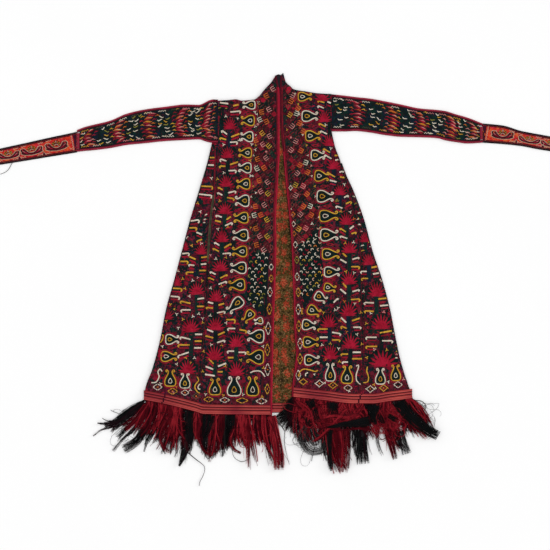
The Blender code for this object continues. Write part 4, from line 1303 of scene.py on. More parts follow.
def pear(work, x, y, turn, length, width, colour, halo):
    """A pear with two curled arms. turn is the way its curls point."""
    other = "mustard" if colour == "ivory" else "ivory"
    motif = placed(x, y, turn)

    def at(u, v):
        return motif((u - 0.5) * length, v * width * PEAR_WIDTH)

    arm = [at(u, v) for u, v in PEAR_ARM]
    mirror = [at(u, -v) for u, v in PEAR_ARM]
    outline = smooth_path(list(reversed(mirror)) + arm[1:], 3.0)
    body = smooth_path(list(reversed(mirror[:PEAR_BODY])) + arm[1:PEAR_BODY], 4.0)
    # The path runs clockwise about the body, so its outside is to the left
    work.fill([beside(body, distance) for distance in PEAR_GROUND], halo)
    work.thread(beside(body, PEAR_CRIMSON), MARK_THREAD, "crimson", lift=0.2, rise=0.5)
    rows = [[at(u, v * part) for part in (-1, -0.3, 0.3, 1)] for u, v in PEAR_ARM[1:PEAR_BODY + 2]]
    work.fill(rows, "dark")
    work.thread(beside(body, -PEAR_GREEN), FINE_THREAD, "green", lift=0.25, rise=0.4)
    work.thread(outline, OUTLINE_THREAD, colour, rise=1.0, lift=0.1)
    drop = []
    for k in range(DROP_POINTS):
        t = 2 * math.pi * k / DROP_POINTS
        drop.append(at(0.33 - 0.15 * math.cos(t), 0.145 * math.sin(t) * (1 + 0.55 * math.cos(t))))
    work.thread(drop, 2.3, other, closed=True, rise=0.9, lift=0.3)
    work.fill([[at(u, -v), at(u, v)] for u, v in ((0.26, 0.04), (0.34, 0.03))], "maroon", 0.45)


# A fan's rays, its straight foot's distance below its middle as a share of its height, its stem's half width
FAN_RAYS = 9
FAN_FOOT = 0.42
STEM_HALF = 7.5


def fan(work, x, y, width, height, turn):
    """A half-disc of crimson stitches with pointed rays round it, on a dark half-disc."""
    at = placed(x, y - height * FAN_FOOT, turn)

    def place(angle, share):
        return at(-math.cos(angle) * width / 2 * share, math.sin(angle) * height * share)

    for colour, size, lift in (("dark", 1.14, 0.22), ("crimson", 0.58, 0.6)):
        disc = [[place(math.pi * k / 14, size * share) for k in range(15)] for share in (0.06, 0.5, 1.0)]
        work.fill(disc, colour, lift)
    spread = 0.44 * math.pi / FAN_RAYS
    for k in range(FAN_RAYS):
        angle = math.pi * (k + 0.5) / FAN_RAYS
        reach = CHANCE.uniform(0.98, 1.14)
        outline = ((0.5, 1.0), (mix(0.5, reach, 0.5), 0.62), (reach, 0.12))
        work.fill([[place(angle - spread * side, share), place(angle + spread * side, share)]
                   for share, side in outline], "crimson", 0.5)
        ray = [place(angle, mix(0.3, reach * 0.94, i / 4)) for i in range(5)]
        work.thread(ray, FAN_RAY, "crimson", rise=0.7, taper=0.5, lift=0.5)
    base = [at(-width * 0.5, -0.6), at(0.0, -1.6), at(width * 0.5, -0.6)]
    work.thread(smooth_path(base), 2.6, "crimson", rise=0.7, lift=0.45, taper=0.3)


def bar(work, x0, y0, x1, y1, colour, hook=0.0, width=5.4):
    """A bar of stitches from a stem outwards, whose far end turns down by the depth of the hook."""
    length = math.hypot(x1 - x0, y1 - y0)
    out = (x1 - x0) / length
    up = (y1 - y0) / length
    path = [(x0, y0), (mix(x0, x1, 0.5), mix(y0, y1, 0.5)), (x1 - 2.5 * out, y1 - 2.5 * up)]
    if hook:
        for reach, fall in ((1.0, 0.4), (-0.4, 0.85), (-3.0, 1.0)):
            path.append((x1 + reach * out, y1 - hook * fall))
        width *= 0.9
    else:
        path.append((x1, y1))
    work.thread(smooth_path(path, 3.0), width, colour, rise=1.0, lift=0.12)


def barred(work, x0, y0, x1, y1, colour, hook):
    """A pale bar over a red one."""
    lower = CHANCE.uniform(10.0, 12.0)
    under = CHANCE.choice(("crimson", "red", "crimson", "purple", "red"))
    start = CHANCE.uniform(0.0, 0.15)
    near, far = [(mix(x0, x1, share), mix(y0, y1, share) - lower) for share in (start, 0.95)]
    bar(work, *near, *far, under, 0.0, 4.6)
    bar(work, x0, y0, x1, y1, colour, hook)


def stem(work, x, y, drop):
    """The plain dark column that stands under a fan, with a few stitches across it."""
    column = [[(x + away, y - drop * k / 8) for away in (-STEM_HALF, 0.0, STEM_HALF)] for k in range(9)]
    work.fill(column, CHANCE.choice(("dark", "green", "navy", "green")), 0.3)
    for k in range(int(drop / 10)):
        level = y - 6 - 10 * k
        across = CHANCE.uniform(2.5, 6.0)
        lean = CHANCE.uniform(-1.5, 1.5)
        stitch = [(x - across, level - lean), (x, level), (x + across, level + lean)]
        colour = CHANCE.choice(("navy", "green", "dark", "purple"))
        work.thread(stitch, 2.4, colour, rise=0.5, lift=0.25, taper=0.4)
    for edge in (-STEM_HALF, STEM_HALF):
        side = [(x + edge, y - drop * k / 10) for k in range(11)]
        work.thread(side, FINE_THREAD, "purple", lift=0.2, rise=0.4)


def link(work, x, y):
    """The small red spindle between two pears of a column."""
    for half, tall, colour, lift in ((14.0, 4.6, "red", 0.42), (6.0, 1.8, "dark", 0.6)):
        rows = [[(x - half, y), (x - half * 0.4, y + rise), (x + half * 0.4, y + rise), (x + half, y)]
                for rise in (-tall, tall)]
        work.fill(rows, colour, lift)


def three_strokes(work, x, y, colour, size=4.2):
    """A small mark of three short strokes."""
    start = CHANCE.uniform(0, 120)
    for k in range(3):
        at = placed(x, y, start + 120 * k)
        work.thread([at(0.4, 0.0), at(size * 0.5, 0.3), at(size, 0.0)], 2.5, colour, rise=0.8, lift=0.15)


# From this size a lozenge has an orange middle. A comb's ground is a square of this size
ORANGE_FROM = 24
COMB_SIZE = 18.0


def diamond(work, x, y, width, height, colour):
    """A dark lozenge between short strokes.

    A long one has two strokes a side, a square one a pinwheel's four.
    """
    half_x = width / 2
    half_y = height / 2
    inner = 0.58
    work.fill([[(x, y - half_y * inner), (x + half_x * inner, y)],
               [(x - half_x * inner, y), (x, y + half_y * inner)]], "dark")
    slender = max(width, height) > 1.35 * min(width, height)
    strokes = ((0.06, 0.45), (0.56, 0.94)) if slender else ((-0.16, 0.84),)
    corners = [(half_x, 0.0), (0.0, half_y), (-half_x, 0.0), (0.0, -half_y)]
    for (ax, ay), (bx, by) in zip(corners, corners[1:] + corners[:1]):
        for from_share, to_share in strokes:
            shares = (from_share, mix(from_share, to_share, 0.5), to_share)
            stroke = [(x + mix(ax, bx, t), y + mix(ay, by, t)) for t in shares]
            work.thread(stroke, 2.5, colour, rise=0.8, lift=0.15)
    if max(width, height) > ORANGE_FROM:
        side = 0.16 * min(width, height)
        work.fill([[(x, y - side), (x + side, y)], [(x - side, y), (x, y + side)]], "orange", 0.4)


def comb(work, x, y, turn, colour, ground):
    """A small dark square with a spine and three bars on it."""
    at = placed(x, y, turn)
    half = COMB_SIZE / 2
    square = [[at(mix(-half, half, i / 2), mix(-half, half, k / 2)) for i in range(3)] for k in range(3)]
    work.fill(square, ground)
    reach = half - 2.0
    shares = (-reach, 0.0, reach)
    strokes = [[at(-reach, level) for level in shares]]
    strokes += [[at(along, level) for along in shares] for level in shares]
    for stroke in strokes:
        work.thread(stroke, MARK_THREAD, colour, rise=0.85, lift=0.2)


def lerp_band(line_a, line_b, from_y, to_y, step=7.0, across=4):
    """A grid of points between two lines that give x at each y."""
    count = max(1, round(abs(to_y - from_y) / step))
    rows = []
    for k in range(count + 1):
        y = mix(from_y, to_y, k / count)
        rows.append([(mix(line_a(y), line_b(y), i / across), y) for i in range(across + 1)])
    return rows


# Motifs of the left front. Pears: x, y, the way their curls point, length, width, thread
LEFT_PEARS = [
    (-89, 580, 180, 42, 30, "ivory"), (-93, 527, 180, 45, 38, "mustard"), (-96, 472, 180, 42, 37, "ivory"),
    (-102, 417, 180, 44, 36, "mustard"), (-103, 366, 180, 43, 37, "ivory"),
    (-108, 311, 182, 45, 39, "mustard"), (-112, 254, 180, 47, 42, "ivory"),
    (-116, 196, 182, 49, 40, "mustard"), (-118, 137, 180, 52, 42, "ivory"),
    (-121, 82, 180, 50, 39, "mustard"), (-125, 26, 180, 53, 42, "ivory"),
    (-130, -32, 184, 54, 42, "mustard"), (-136, -101, 222, 62, 38, "ivory"),
    (-91, -139, 229, 46, 32, "mustard"), (-56, -155, 192, 28, 24, "ivory"),
    (-66, -206, 178, 56, 48, "ivory"), (-68, -277, 180, 58, 52, "mustard"),
    (-356, -348, 90, 56, 41, "mustard"), (-306, -357, 88, 51, 37, "ivory"),
    (-204, -377, 90, 57, 42, "mustard"), (-139, -376, 90, 66, 50, "ivory"),
    (-76, -376, 90, 65, 44, "mustard"), (-349, -217, 0, 45, 36, "ivory"),
    (-360, -275, 0, 54, 37, "mustard"),
]
# Pears that a seam cuts in two: points of the outline that is left, then its thread
LEFT_CUT_PEARS = [
    ([(-264, -344), (-260, -357), (-270, -370), (-272, -381), (-267, -392), (-256, -400)], "mustard"),
    ([(-254, -368), (-262, -378), (-259, -386), (-254, -386)], "ivory"),
    ([(-384, -326), (-391, -318), (-398, -328), (-394, -344), (-404, -362), (-420, -364)], "ivory"),
    ([(-84, -331), (-71, -325), (-49, -326), (-34, -344)], "ivory"),
    ([(-386, -196), (-380, -208), (-388, -226), (-402, -236)], "mustard"),
]
# Fans: x, y, width, height, drop of the stem below
LEFT_FANS = [
    (-153, 515, 46, 36, 66), (-161, 417, 46, 36, 62), (-166, 320, 48, 36, 58), (-171, 227, 52, 36, 56),
    (-180, 132, 48, 37, 58), (-185, 32, 56, 34, 56), (-201, -69, 52, 38, 54), (-202, -166, 58, 40, 46),
    (-206, -266, 62, 44, 56), (-251, 88, 42, 32, 76), (-266, -46, 56, 38, 70), (-286, -172, 60, 42, 84),
    (-298, -312, 60, 44, 0), (-132, -223, 56, 40, 50), (-132, -320, 58, 42, 0), (-306, 101, 26, 30, 0),
    (-335, -18, 40, 34, 0), (-366, -132, 40, 34, 0), (-392, -262, 34, 30, 0),
]
# Small diamonds by the hem and by the opening: x, y, width, height, thread
LEFT_DIAMONDS = [
    (-399, -379, 32, 22, "ivory"), (-348, -393, 34, 22, "mustard"), (-306, -398, 28, 20, "ivory"),
    (-268, -410, 26, 20, "olive"), (-226, -421, 34, 18, "mustard"), (-171, -423, 36, 18, "ivory"),
    (-112, -425, 42, 19, "mustard"), (-46, -427, 40, 20, "ivory"), (-11, 282, 11, 15, "dusty"),
    (-11, 253, 11, 15, "dusty"), (-11, 221, 11, 16, "dusty"), (-11, 193, 11, 15, "dusty"),
    (-12, 162, 12, 16, "dusty"), (-12, 126, 12, 16, "dusty"), (-12, 96, 12, 17, "dusty"),
    (-12, 63, 13, 18, "dusty"), (-13, 29, 15, 22, "ivory"), (-13, -10, 15, 26, "mustard"),
    (-17, -56, 17, 34, "ivory"), (-19, -114, 18, 40, "mustard"), (-23, -180, 19, 46, "ivory"),
    (-26, -253, 18, 44, "mustard"), (-25, -320, 20, 44, "ivory"), (-26, -386, 18, 38, "mustard"),
]
# Combs near the opening: x, y, turn, thread, ground
LEFT_COMBS = [
    (-7, 635, 30, "pink", "dark"), (-29, 611, 25, "orange", "maroon"), (-20, 565, 28, "pink", "dark"),
    (-45, 556, 10, "orange", "maroon"), (-51, 530, 25, "ivory", "green"),
    (-30, 523, 205, "orange", "maroon"), (-18, 474, 30, "pink", "dark"),
    (-43, 484, 40, "mustard", "maroon"), (-65, 460, 20, "orange", "red"), (-41, 446, 35, "pink", "maroon"),
    (-21, 441, 45, "mustard", "green"), (-59, 396, 20, "orange", "maroon"), (-30, 400, 35, "pink", "dark"),
    (-61, 364, 25, "ivory", "green"), (-37, 366, 30, "orange", "red"), (-11, 372, 40, "dusty", "dark"),
    (-53, 323, 20, "orange", "red"), (-25, 318, 35, "pink", "dark"), (-48, 286, 30, "pink", "maroon"),
    (-24, 279, 40, "mustard", "green"), (-66, 235, 10, "orange", "red"), (-36, 240, 35, "pink", "dark"),
    (-70, 205, 15, "ivory", "green"), (-48, 206, 25, "orange", "red"), (-27, 190, 30, "mustard", "dark"),
    (-64, 160, 20, "orange", "maroon"), (-24, 165, 30, "dusty", "maroon"), (-52, 134, 30, "pink", "maroon"),
    (-26, 133, 35, "mustard", "green"), (-38, 88, 35, "pink", "dark"), (-62, 104, 15, "orange", "maroon"),
]
# Round spots among them: x, y, radius, thread
LEFT_SPOTS = [
    (-40, 596, 8.0, "crimson"), (-17, 508, 6.5, "crimson"), (-59, 514, 4.0, "pink"),
    (-30, 421, 3.5, "pink"),
]
# Motifs of the right front, in the same columns
RIGHT_PEARS = [
    (102, 608, 0, 46, 32, "mustard"), (119, 542, 0, 54, 39, "ivory"), (129, 475, 0, 50, 38, "mustard"),
    (146, 409, 0, 46, 38, "ivory"), (159, 338, -4, 48, 40, "mustard"), (171, 269, -2, 56, 43, "ivory"),
    (183, 203, 2, 63, 42, "mustard"), (185, 138, 0, 60, 44, "ivory"), (190, 73, 0, 58, 39, "mustard"),
    (194, 12, 0, 52, 37, "ivory"), (187, -42, -12, 40, 30, "mustard"), (156, -75, -30, 42, 34, "ivory"),
    (133, -121, -24, 44, 36, "mustard"), (116, -168, -6, 46, 38, "ivory"),
    (122, -226, 0, 52, 39, "mustard"), (126, -287, 0, 50, 38, "ivory"), (188, -328, 90, 61, 35, "ivory"),
    (245, -336, 88, 61, 42, "mustard"), (358, -342, 90, 54, 36, "ivory"),
    (410, -330, 92, 54, 35, "mustard"),
]
RIGHT_CUT_PEARS = [
    ([(81, -344), (84, -328), (98, -318), (122, -322), (136, -326), (146, -322)], "mustard"),
    ([(104, -342), (104, -334), (112, -330)], "ivory"),
    ([(276, -308), (284, -305), (282, -318), (276, -338), (278, -358), (291, -370)], "ivory"),
    ([(314, -310), (312, -326), (318, -346), (314, -362), (300, -364)], "mustard"),
]
RIGHT_FANS = [
    (161, 610, 48, 34, 30), (167, 539, 46, 34, 60), (184, 457, 46, 33, 58), (200, 379, 46, 34, 60),
    (220, 290, 46, 32, 58), (243, 191, 52, 37, 56), (253, 95, 56, 38, 60), (252, -11, 56, 39, 62),
    (250, -117, 58, 42, 62), (256, -227, 62, 44, 66), (306, 130, 38, 32, 34), (319, 54, 50, 36, 62),
    (345, -49, 58, 46, 66), (362, -160, 70, 46, 76), (366, -285, 94, 52, 0), (184, -156, 54, 40, 56),
    (188, -262, 56, 46, 0), (398, -120, 34, 30, 0),
]
RIGHT_DIAMONDS = [
    (96, -361, 26, 20, "mustard"), (151, -367, 28, 22, "ivory"), (197, -373, 28, 22, "mustard"),
    (248, -382, 30, 22, "ivory"), (324, -386, 28, 22, "ivory"), (369, -382, 28, 22, "mustard"),
    (418, -371, 30, 22, "ivory"), (53, 298, 12, 16, "ivory"), (56, 269, 11, 15, "dusty"),
    (59, 240, 12, 16, "dusty"), (61, 208, 13, 16, "orange"), (63, 175, 13, 17, "ivory"),
    (65, 142, 13, 17, "orange"), (69, 105, 15, 22, "ivory"), (72, 78, 12, 16, "dusty"),
    (74, 53, 15, 26, "lime"), (75, -4, 15, 28, "ivory"), (79, -57, 16, 32, "mustard"),
    (79, -115, 17, 38, "ivory"), (81, -172, 17, 40, "mustard"), (85, -231, 18, 40, "ivory"),
    (85, -283, 18, 38, "mustard"), (79, -338, 18, 36, "ivory"),
]
RIGHT_COMBS = [
    (60, 612, 150, "pink", "dark"), (54, 593, 150, "orange", "maroon"), (78, 569, 140, "orange", "red"),
    (73, 551, 160, "ivory", "green"), (50, 547, 150, "mustard", "maroon"), (83, 518, 150, "orange", "red"),
    (58, 508, 140, "pink", "dark"), (96, 490, 150, "orange", "red"), (70, 457, 150, "pink", "dark"),
    (88, 425, 150, "orange", "red"), (54, 427, 140, "pink", "maroon"), (104, 384, 160, "ivory", "green"),
    (84, 376, 150, "orange", "red"), (110, 352, 150, "orange", "red"), (75, 348, 140, "pink", "dark"),
    (69, 308, 150, "mustard", "green"), (95, 304, 150, "pink", "red"), (108, 277, 140, "orange", "red"),
    (70, 273, 150, "pink", "dark"), (96, 235, 150, "orange", "red"), (119, 236, 160, "ivory", "green"),
    (86, 208, 140, "pink", "dark"), (122, 206, 150, "orange", "red"), (104, 161, 150, "pink", "red"),
    (80, 159, 150, "mustard", "maroon"), (80, 126, 140, "dusty", "maroon"),
]
RIGHT_SPOTS = [(47, 634, 8.0, "crimson"), (54, 470, 4.0, "pink"), (62, 568, 4.0, "crimson")]
# Pale bars, from the stem's side outwards: from x, y, to x, y, thread, depth of the hook
LEFT_BARS = [
    (-159, 584, -187, 588, "ivory", 0), (-142, 577, -124, 581, "mustard", 0),
    (-152, 556, -118, 559, "ivory", 7), (-163, 480, -181, 494, "ivory", 8),
    (-166, 462, -187, 468, "mustard", 5), (-149, 471, -121, 482, "mustard", 0),
    (-153, 453, -129, 454, "ivory", 8), (-165, 389, -186, 396, "ivory", 9),
    (-168, 371, -188, 372, "mustard", 6), (-153, 377, -126, 386, "mustard", 0),
    (-158, 356, -133, 357, "ivory", 8), (-205, 401, -226, 401, "mustard", 6),
    (-208, 375, -233, 376, "ivory", 0), (-178, 291, -193, 300, "mustard", 4),
    (-179, 273, -195, 282, "ivory", 4), (-160, 281, -134, 287, "ivory", 7),
    (-163, 265, -140, 261, "mustard", 6), (-181, 198, -200, 205, "ivory", 6),
    (-184, 182, -204, 187, "mustard", 0), (-165, 190, -150, 200, "mustard", 0),
    (-170, 169, -146, 180, "ivory", 8), (-189, 102, -205, 113, "ivory", 5),
    (-191, 82, -210, 92, "mustard", 4), (-173, 94, -150, 108, "mustard", 4),
    (-178, 74, -152, 76, "ivory", 8), (-202, 4, -220, 13, "ivory", 5), (-207, -15, -226, -7, "mustard", 4),
    (-186, -9, -163, 3, "mustard", 4), (-192, -30, -165, -20, "ivory", 6),
    (-210, -95, -228, -90, "ivory", 0), (-211, -111, -233, -108, "mustard", 5),
    (-192, -101, -173, -95, "mustard", 0), (-197, -127, -171, -122, "ivory", 7),
    (-251, 304, -213, 302, "mustard", 9), (-261, 277, -216, 272, "ivory", 9),
    (-289, 185, -259, 189, "ivory", 10), (-296, 162, -267, 162, "mustard", 8),
    (-267, 147, -248, 139, "ivory", 0), (-248, 123, -265, 117, "mustard", 4),
    (-320, 74, -293, 76, "ivory", 9), (-327, 48, -297, 48, "mustard", 9),
    (-270, 55, -291, 64, "mustard", 0), (-274, 34, -293, 37, "ivory", 5),
    (-277, 11, -301, 11, "mustard", 8), (-251, 61, -231, 64, "mustard", 0),
    (-252, 38, -233, 40, "ivory", 0), (-257, 17, -234, 17, "mustard", 0),
    (-351, -43, -318, -45, "mustard", 9), (-357, -70, -326, -73, "ivory", 9),
    (-287, -95, -321, -87, "mustard", 8), (-287, -117, -319, -117, "ivory", 7),
    (-264, -80, -241, -77, "ivory", 0), (-265, -105, -241, -105, "mustard", 0),
    (-287, -217, -322, -209, "ivory", 7), (-290, -236, -329, -236, "mustard", 7),
    (-293, -261, -329, -273, "ivory", 7), (-272, -200, -248, -200, "ivory", 0),
    (-273, -223, -249, -223, "mustard", 0), (-275, -246, -251, -246, "ivory", 0),
    (-210, -192, -231, -183, "ivory", 0), (-210, -212, -236, -205, "mustard", 0),
    (-194, -202, -171, -192, "mustard", 0), (-197, -228, -171, -220, "ivory", 6),
    (-165, -150, -137, -150, "mustard", 12), (-135, -180, -160, -180, "ivory", 7),
    (-121, -184, -98, -188, "mustard", 8), (-139, -257, -161, -257, "ivory", 7),
    (-141, -279, -160, -279, "mustard", 0), (-124, -261, -100, -261, "ivory", 7),
    (-209, -300, -225, -283, "mustard", 0), (-194, -309, -166, -298, "ivory", 0),
    (-210, -319, -236, -309, "ivory", 0), (-205, -341, -238, -336, "ivory", 0),
    (-195, -327, -178, -327, "mustard", 0),
]
RIGHT_BARS = [
    (168, 588, 146, 594, "mustard", 5), (166, 569, 146, 577, "ivory", 6), (178, 591, 190, 586, "ivory", 0),
    (172, 506, 150, 517, "mustard", 5), (177, 481, 155, 492, "ivory", 6),
    (187, 418, 165, 431, "mustard", 5), (192, 397, 169, 410, "ivory", 6),
    (203, 408, 213, 408, "mustard", 0), (204, 392, 215, 394, "ivory", 0),
    (204, 335, 182, 348, "mustard", 6), (209, 318, 186, 324, "ivory", 0), (219, 351, 232, 355, "ivory", 4),
    (221, 335, 236, 333, "mustard", 0), (219, 255, 203, 256, "olive", 0), (229, 229, 208, 236, "ivory", 6),
    (235, 265, 249, 273, "ivory", 6), (241, 244, 259, 252, "mustard", 8),
    (241, 148, 221, 161, "mustard", 5), (246, 126, 222, 134, "ivory", 5), (254, 158, 268, 169, "ivory", 0),
    (260, 142, 275, 147, "mustard", 5), (243, 64, 230, 76, "mustard", 0), (243, 43, 222, 55, "ivory", 0),
    (263, 55, 285, 61, "ivory", 4), (259, 30, 286, 30, "mustard", 8), (243, -41, 231, -26, "mustard", 0),
    (241, -62, 222, -46, "ivory", 0), (263, -55, 286, -48, "ivory", 5), (258, -82, 287, -80, "mustard", 8),
    (199, -92, 214, -77, "ivory", 5), (328, 27, 348, 31, "mustard", 0), (333, 5, 356, 9, "ivory", 0),
    (312, 14, 292, 14, "ivory", 7), (316, -10, 295, -10, "mustard", 7), (351, -80, 379, -77, "mustard", 0),
    (357, -103, 387, -100, "ivory", 0), (336, -93, 304, -92, "ivory", 7),
    (336, -122, 305, -120, "mustard", 7), (242, -160, 224, -143, "ivory", 0),
    (262, -154, 288, -145, "mustard", 0), (244, -180, 225, -172, "mustard", 9),
    (266, -176, 292, -176, "ivory", 5), (179, -182, 146, -182, "mustard", 7),
    (179, -210, 152, -210, "ivory", 0), (194, -193, 222, -198, "ivory", 6),
    (194, -219, 220, -219, "mustard", 5), (345, -210, 310, -210, "ivory", 7),
    (347, -241, 310, -241, "mustard", 7), (356, -195, 397, -188, "mustard", 0),
    (364, -222, 399, -222, "ivory", 7), (248, -267, 225, -267, "mustard", 5),
    (264, -261, 292, -261, "ivory", 0), (262, -283, 295, -283, "mustard", 0),
    (248, -294, 229, -294, "ivory", 5),
]
# Short strokes: x, y, length, turn, thread
LEFT_STROKES = [
    (-188, 569, 11, 10, "lime"), (-166, 567, 7, 0, "lime"), (-234, 206, 10, 25, "ivory"),
    (-238, 190, 10, 15, "ivory"), (-241, 179, 8, 0, "ivory"),
]
RIGHT_STROKES = [
    (268, 268, 10, -20, "ivory"), (274, 244, 12, 30, "lime"), (286, 212, 11, 20, "ivory"),
    (285, 193, 8, 90, "mustard"), (287, 172, 10, 0, "ivory"), (294, 149, 9, 0, "pink"),
    (297, 101, 13, 15, "ivory"), (298, 84, 13, 15, "mustard"), (320, 112, 8, 0, "mustard"),
    (325, 97, 9, 0, "ivory"), (404, -197, 9, 0, "ivory"), (415, -241, 10, 0, "mustard"),
    (415, -259, 10, 0, "mustard"), (412, -281, 10, 0, "ivory"), (92, -113, 8, 0, "mustard"),
    (92, -131, 8, 0, "mustard"), (92, -122, 17, 90, "mustard"), (282, 191, 8, 10, "ivory"),
    (286, 173, 9, 10, "ivory"),
]
# Marks of three short strokes: x, y, thread
LEFT_MARKS = [
    (-68, 556, "ivory"), (-67, 507, "ivory"), (-79, 446, "ivory"), (-67, 428, "ivory"),
    (-84, 391, "mustard"), (-83, 339, "ivory"), (-58, 589, "ivory"), (-121, 460, "ivory"),
    (-167, 541, "ivory"), (-202, 509, "ivory"), (-175, 445, "ivory"), (-174, 349, "ivory"),
    (-216, 331, "ivory"), (-196, 328, "mustard"), (-263, 246, "mustard"), (-254, 217, "ivory"),
    (-188, 254, "mustard"), (-206, 227, "pink"), (-194, 158, "ivory"), (-160, 165, "mustard"),
    (-167, 62, "mustard"), (-201, 57, "ivory"), (-219, -43, "ivory"), (-182, -36, "mustard"),
    (-300, 130, "ivory"), (-283, 102, "mustard"), (-251, 109, "ivory"), (-330, 15, "ivory"),
    (-314, -11, "mustard"), (-280, -17, "ivory"), (-247, -18, "mustard"), (-306, -44, "mustard"),
    (-291, -70, "ivory"), (-356, -98, "mustard"), (-334, -131, "ivory"), (-313, -149, "mustard"),
    (-279, -139, "ivory"), (-246, -146, "ivory"), (-246, -160, "mustard"), (-220, -136, "ivory"),
    (-182, -134, "orange"), (-259, -130, "ivory"), (-329, -178, "ivory"), (-370, -155, "mustard"),
    (-217, -235, "ivory"), (-181, -236, "mustard"), (-243, -258, "mustard"), (-274, -280, "ivory"),
    (-303, -279, "mustard"), (-334, -301, "ivory"), (-383, -241, "ivory"), (-246, -326, "mustard"),
    (-116, -287, "mustard"), (-169, -308, "mustard"), (-36, -178, "mustard"), (-41, -241, "ivory"),
    (-39, -314, "mustard"), (-389, -368, "ivory"), (-335, -378, "orange"), (-288, -389, "ivory"),
    (-236, -404, "ivory"), (-176, -407, "mustard"), (-108, -404, "ivory"), (-44, -412, "mustard"),
    (-171, -67, "ivory"), (-166, -161, "ivory"),
]
RIGHT_MARKS = [
    (236, 310, "ivory"), (256, 216, "ivory"), (224, 218, "mustard"), (267, 113, "ivory"),
    (239, 110, "mustard"), (269, 9, "ivory"), (241, 13, "mustard"), (301, -54, "ivory"),
    (236, -88, "orange"), (271, -95, "ivory"), (361, -16, "ivory"), (214, -110, "ivory"),
    (172, 512, "ivory"), (190, 432, "ivory"), (126, 176, "ivory"), (204, -117, "ivory"),
    (165, -126, "mustard"), (292, -126, "mustard"), (325, -129, "ivory"), (370, -124, "pink"),
    (310, -163, "mustard"), (146, -155, "pink"), (221, -153, "orange"), (243, -191, "orange"),
    (279, -200, "ivory"), (295, -233, "mustard"), (188, -231, "mustard"), (160, -236, "ivory"),
    (216, -248, "ivory"), (173, -284, "orange"), (219, -292, "mustard"), (338, -251, "ivory"),
    (380, -253, "mustard"), (312, -279, "mustard"), (385, -361, "ivory"), (336, -371, "mustard"),
    (437, -352, "pink"), (269, 193, "orange"), (211, 255, "mustard"),
]
# Depth of the plain maroon borders by the hem and by the opening, and where the latter starts
HEM_BORDER = 38.0
EDGE_BORDER = 33.0
EDGE_BORDER_TOP = 60.0
# The comb field's ground: staggered small squares
LATTICE_X = 23.0
LATTICE_Y = 13.0
LATTICE_SIZE = 14.0
# The dark strip beside an armhole: its width and the levels it runs between
ARMHOLE_STRIP = 20.0
ARMHOLE_LEVELS = (600, 470)
# Fields of hooked marks: the levels they run between, their sides, and how far apart their rows are
LEFT_HOOKS = (78.0, -140.0)
LEFT_HOOK_SIDE = [(-88, 78), (-90, 26), (-94, -32), (-96, -60), (-78, -100), (-38, -150)]
RIGHT_HOOKS = (168.0, -118.0)
RIGHT_HOOK_TOP = [(150, 168), (128, 150), (104, 128), (84, 108), (74, 96), (70, 60)]
RIGHT_HOOK_SIDE = [(154, 168), (158, 72), (164, 12), (160, -30), (132, -60), (108, -92), (98, -118)]
HOOK_ROW = 12.5
# Threads of the hooked marks and their shares
HOOK_COLOURS = (("ivory", "mustard", "lime", "crimson", "peach", "orange"), (8, 3, 2, 4, 2, 1))


def on_left_front(x, y):
    side = left_side(y) + 2.5 if y < LEFT_GORE_TOP else LEFT_ARMHOLE + 0.4
    return side < x < left_edge(y) - 0.3 and left_hem(x) + BRAID + 0.5 < y < left_top(x) - 2.0


def on_right_front(x, y):
    side = right_side(y) - 2.5 if y < RIGHT_GORE_TOP else right_seam(y) - 0.4
    return right_edge(y) + 0.3 < x < side and right_hem(x) + BRAID + 0.5 < y < right_top(x) - 2.0


def column_of(rows, y):
    """The x at which the line through the given (x, y) places runs at y."""
    return curve_value(sorted((place[1], place[0]) for place in rows), y)


def lattice(work, from_line, to_line, from_y, to_y, taken):
    """Staggered dark squares with small crossed strokes on maroon, where no bright comb stands."""
    work.fill(lerp_band(from_line, to_line, from_y, to_y, 8.0, 6), "field", 0.18)
    level = from_y
    row = 0
    while level > to_y:
        x = from_line(level) + (row % 2) * LATTICE_X / 2
        while x < to_line(level):
            y = level + CHANCE.uniform(-1.0, 1.0)
            if all(math.hypot(x - a, y - b) > r for a, b, r in taken):
                turn = 40.0 + CHANCE.uniform(-8.0, 8.0)
                at = placed(x, y, turn)
                half = LATTICE_SIZE / 2
                ground = CHANCE.choice(("maroon", "dark", "maroon", "dark", "green", "red"))
                work.fill([[at(u, v) for u in (-half, half)] for v in (-half, half)],
                          ground, 0.42)
                mark = CHANCE.choice(("red", "maroon", "crimson", "dusty", "red", "dusty", "olive"))
                zigzag = [at(-4.6, -2.2), at(-2.3, 2.0), at(0.0, -2.0), at(2.3, 2.2), at(4.6, -1.6)]
                work.thread(zigzag, 1.9, mark, lift=0.4)
            x += LATTICE_X
        level -= LATTICE_Y
        row += 1


def hook_field(work, from_line, to_line, from_y, to_y, pitch):
    """Small hooked marks in staggered rows on a near-black ground."""
    work.fill(lerp_band(from_line, to_line, from_y, to_y, 8.0, 6), "dark", 0.22)
    level = from_y - 6.0
    row = 0
    while level > to_y:
        x = from_line(level) + 5.0 + (row % 2) * pitch / 2
        while x < to_line(level) - 3.0:
            if to_line(level) - from_line(level) < 2 * pitch and row % 2:
                break
            colour = CHANCE.choices(*HOOK_COLOURS)[0]
            turn = CHANCE.choice((0.0, 0.0, 90.0, 180.0)) + CHANCE.uniform(-35.0, 35.0)
            at = placed(x + CHANCE.uniform(-2.5, 2.5), level + CHANCE.uniform(-2.0, 2.0), turn)
            hooked = smooth_path([at(-5.2, -2.2), at(-2.0, 2.8), at(2.8, 2.6), at(4.8, -3.2)], 2.5)
            work.thread(hooked, 2.7, colour, rise=0.85, lift=0.15, taper=0.15)
            x += pitch
        level -= HOOK_ROW
        row += 1


def spot(work, x, y, radius, colour):
    """A round spot of satin stitch."""
    rows = [[(x + radius * share * math.cos(math.pi * k / 6), y + radius * share * math.sin(math.pi * k / 6))
             for k in range(13)] for share in (0.05, 0.55, 1.0)]
    work.fill(rows, colour, 0.55)


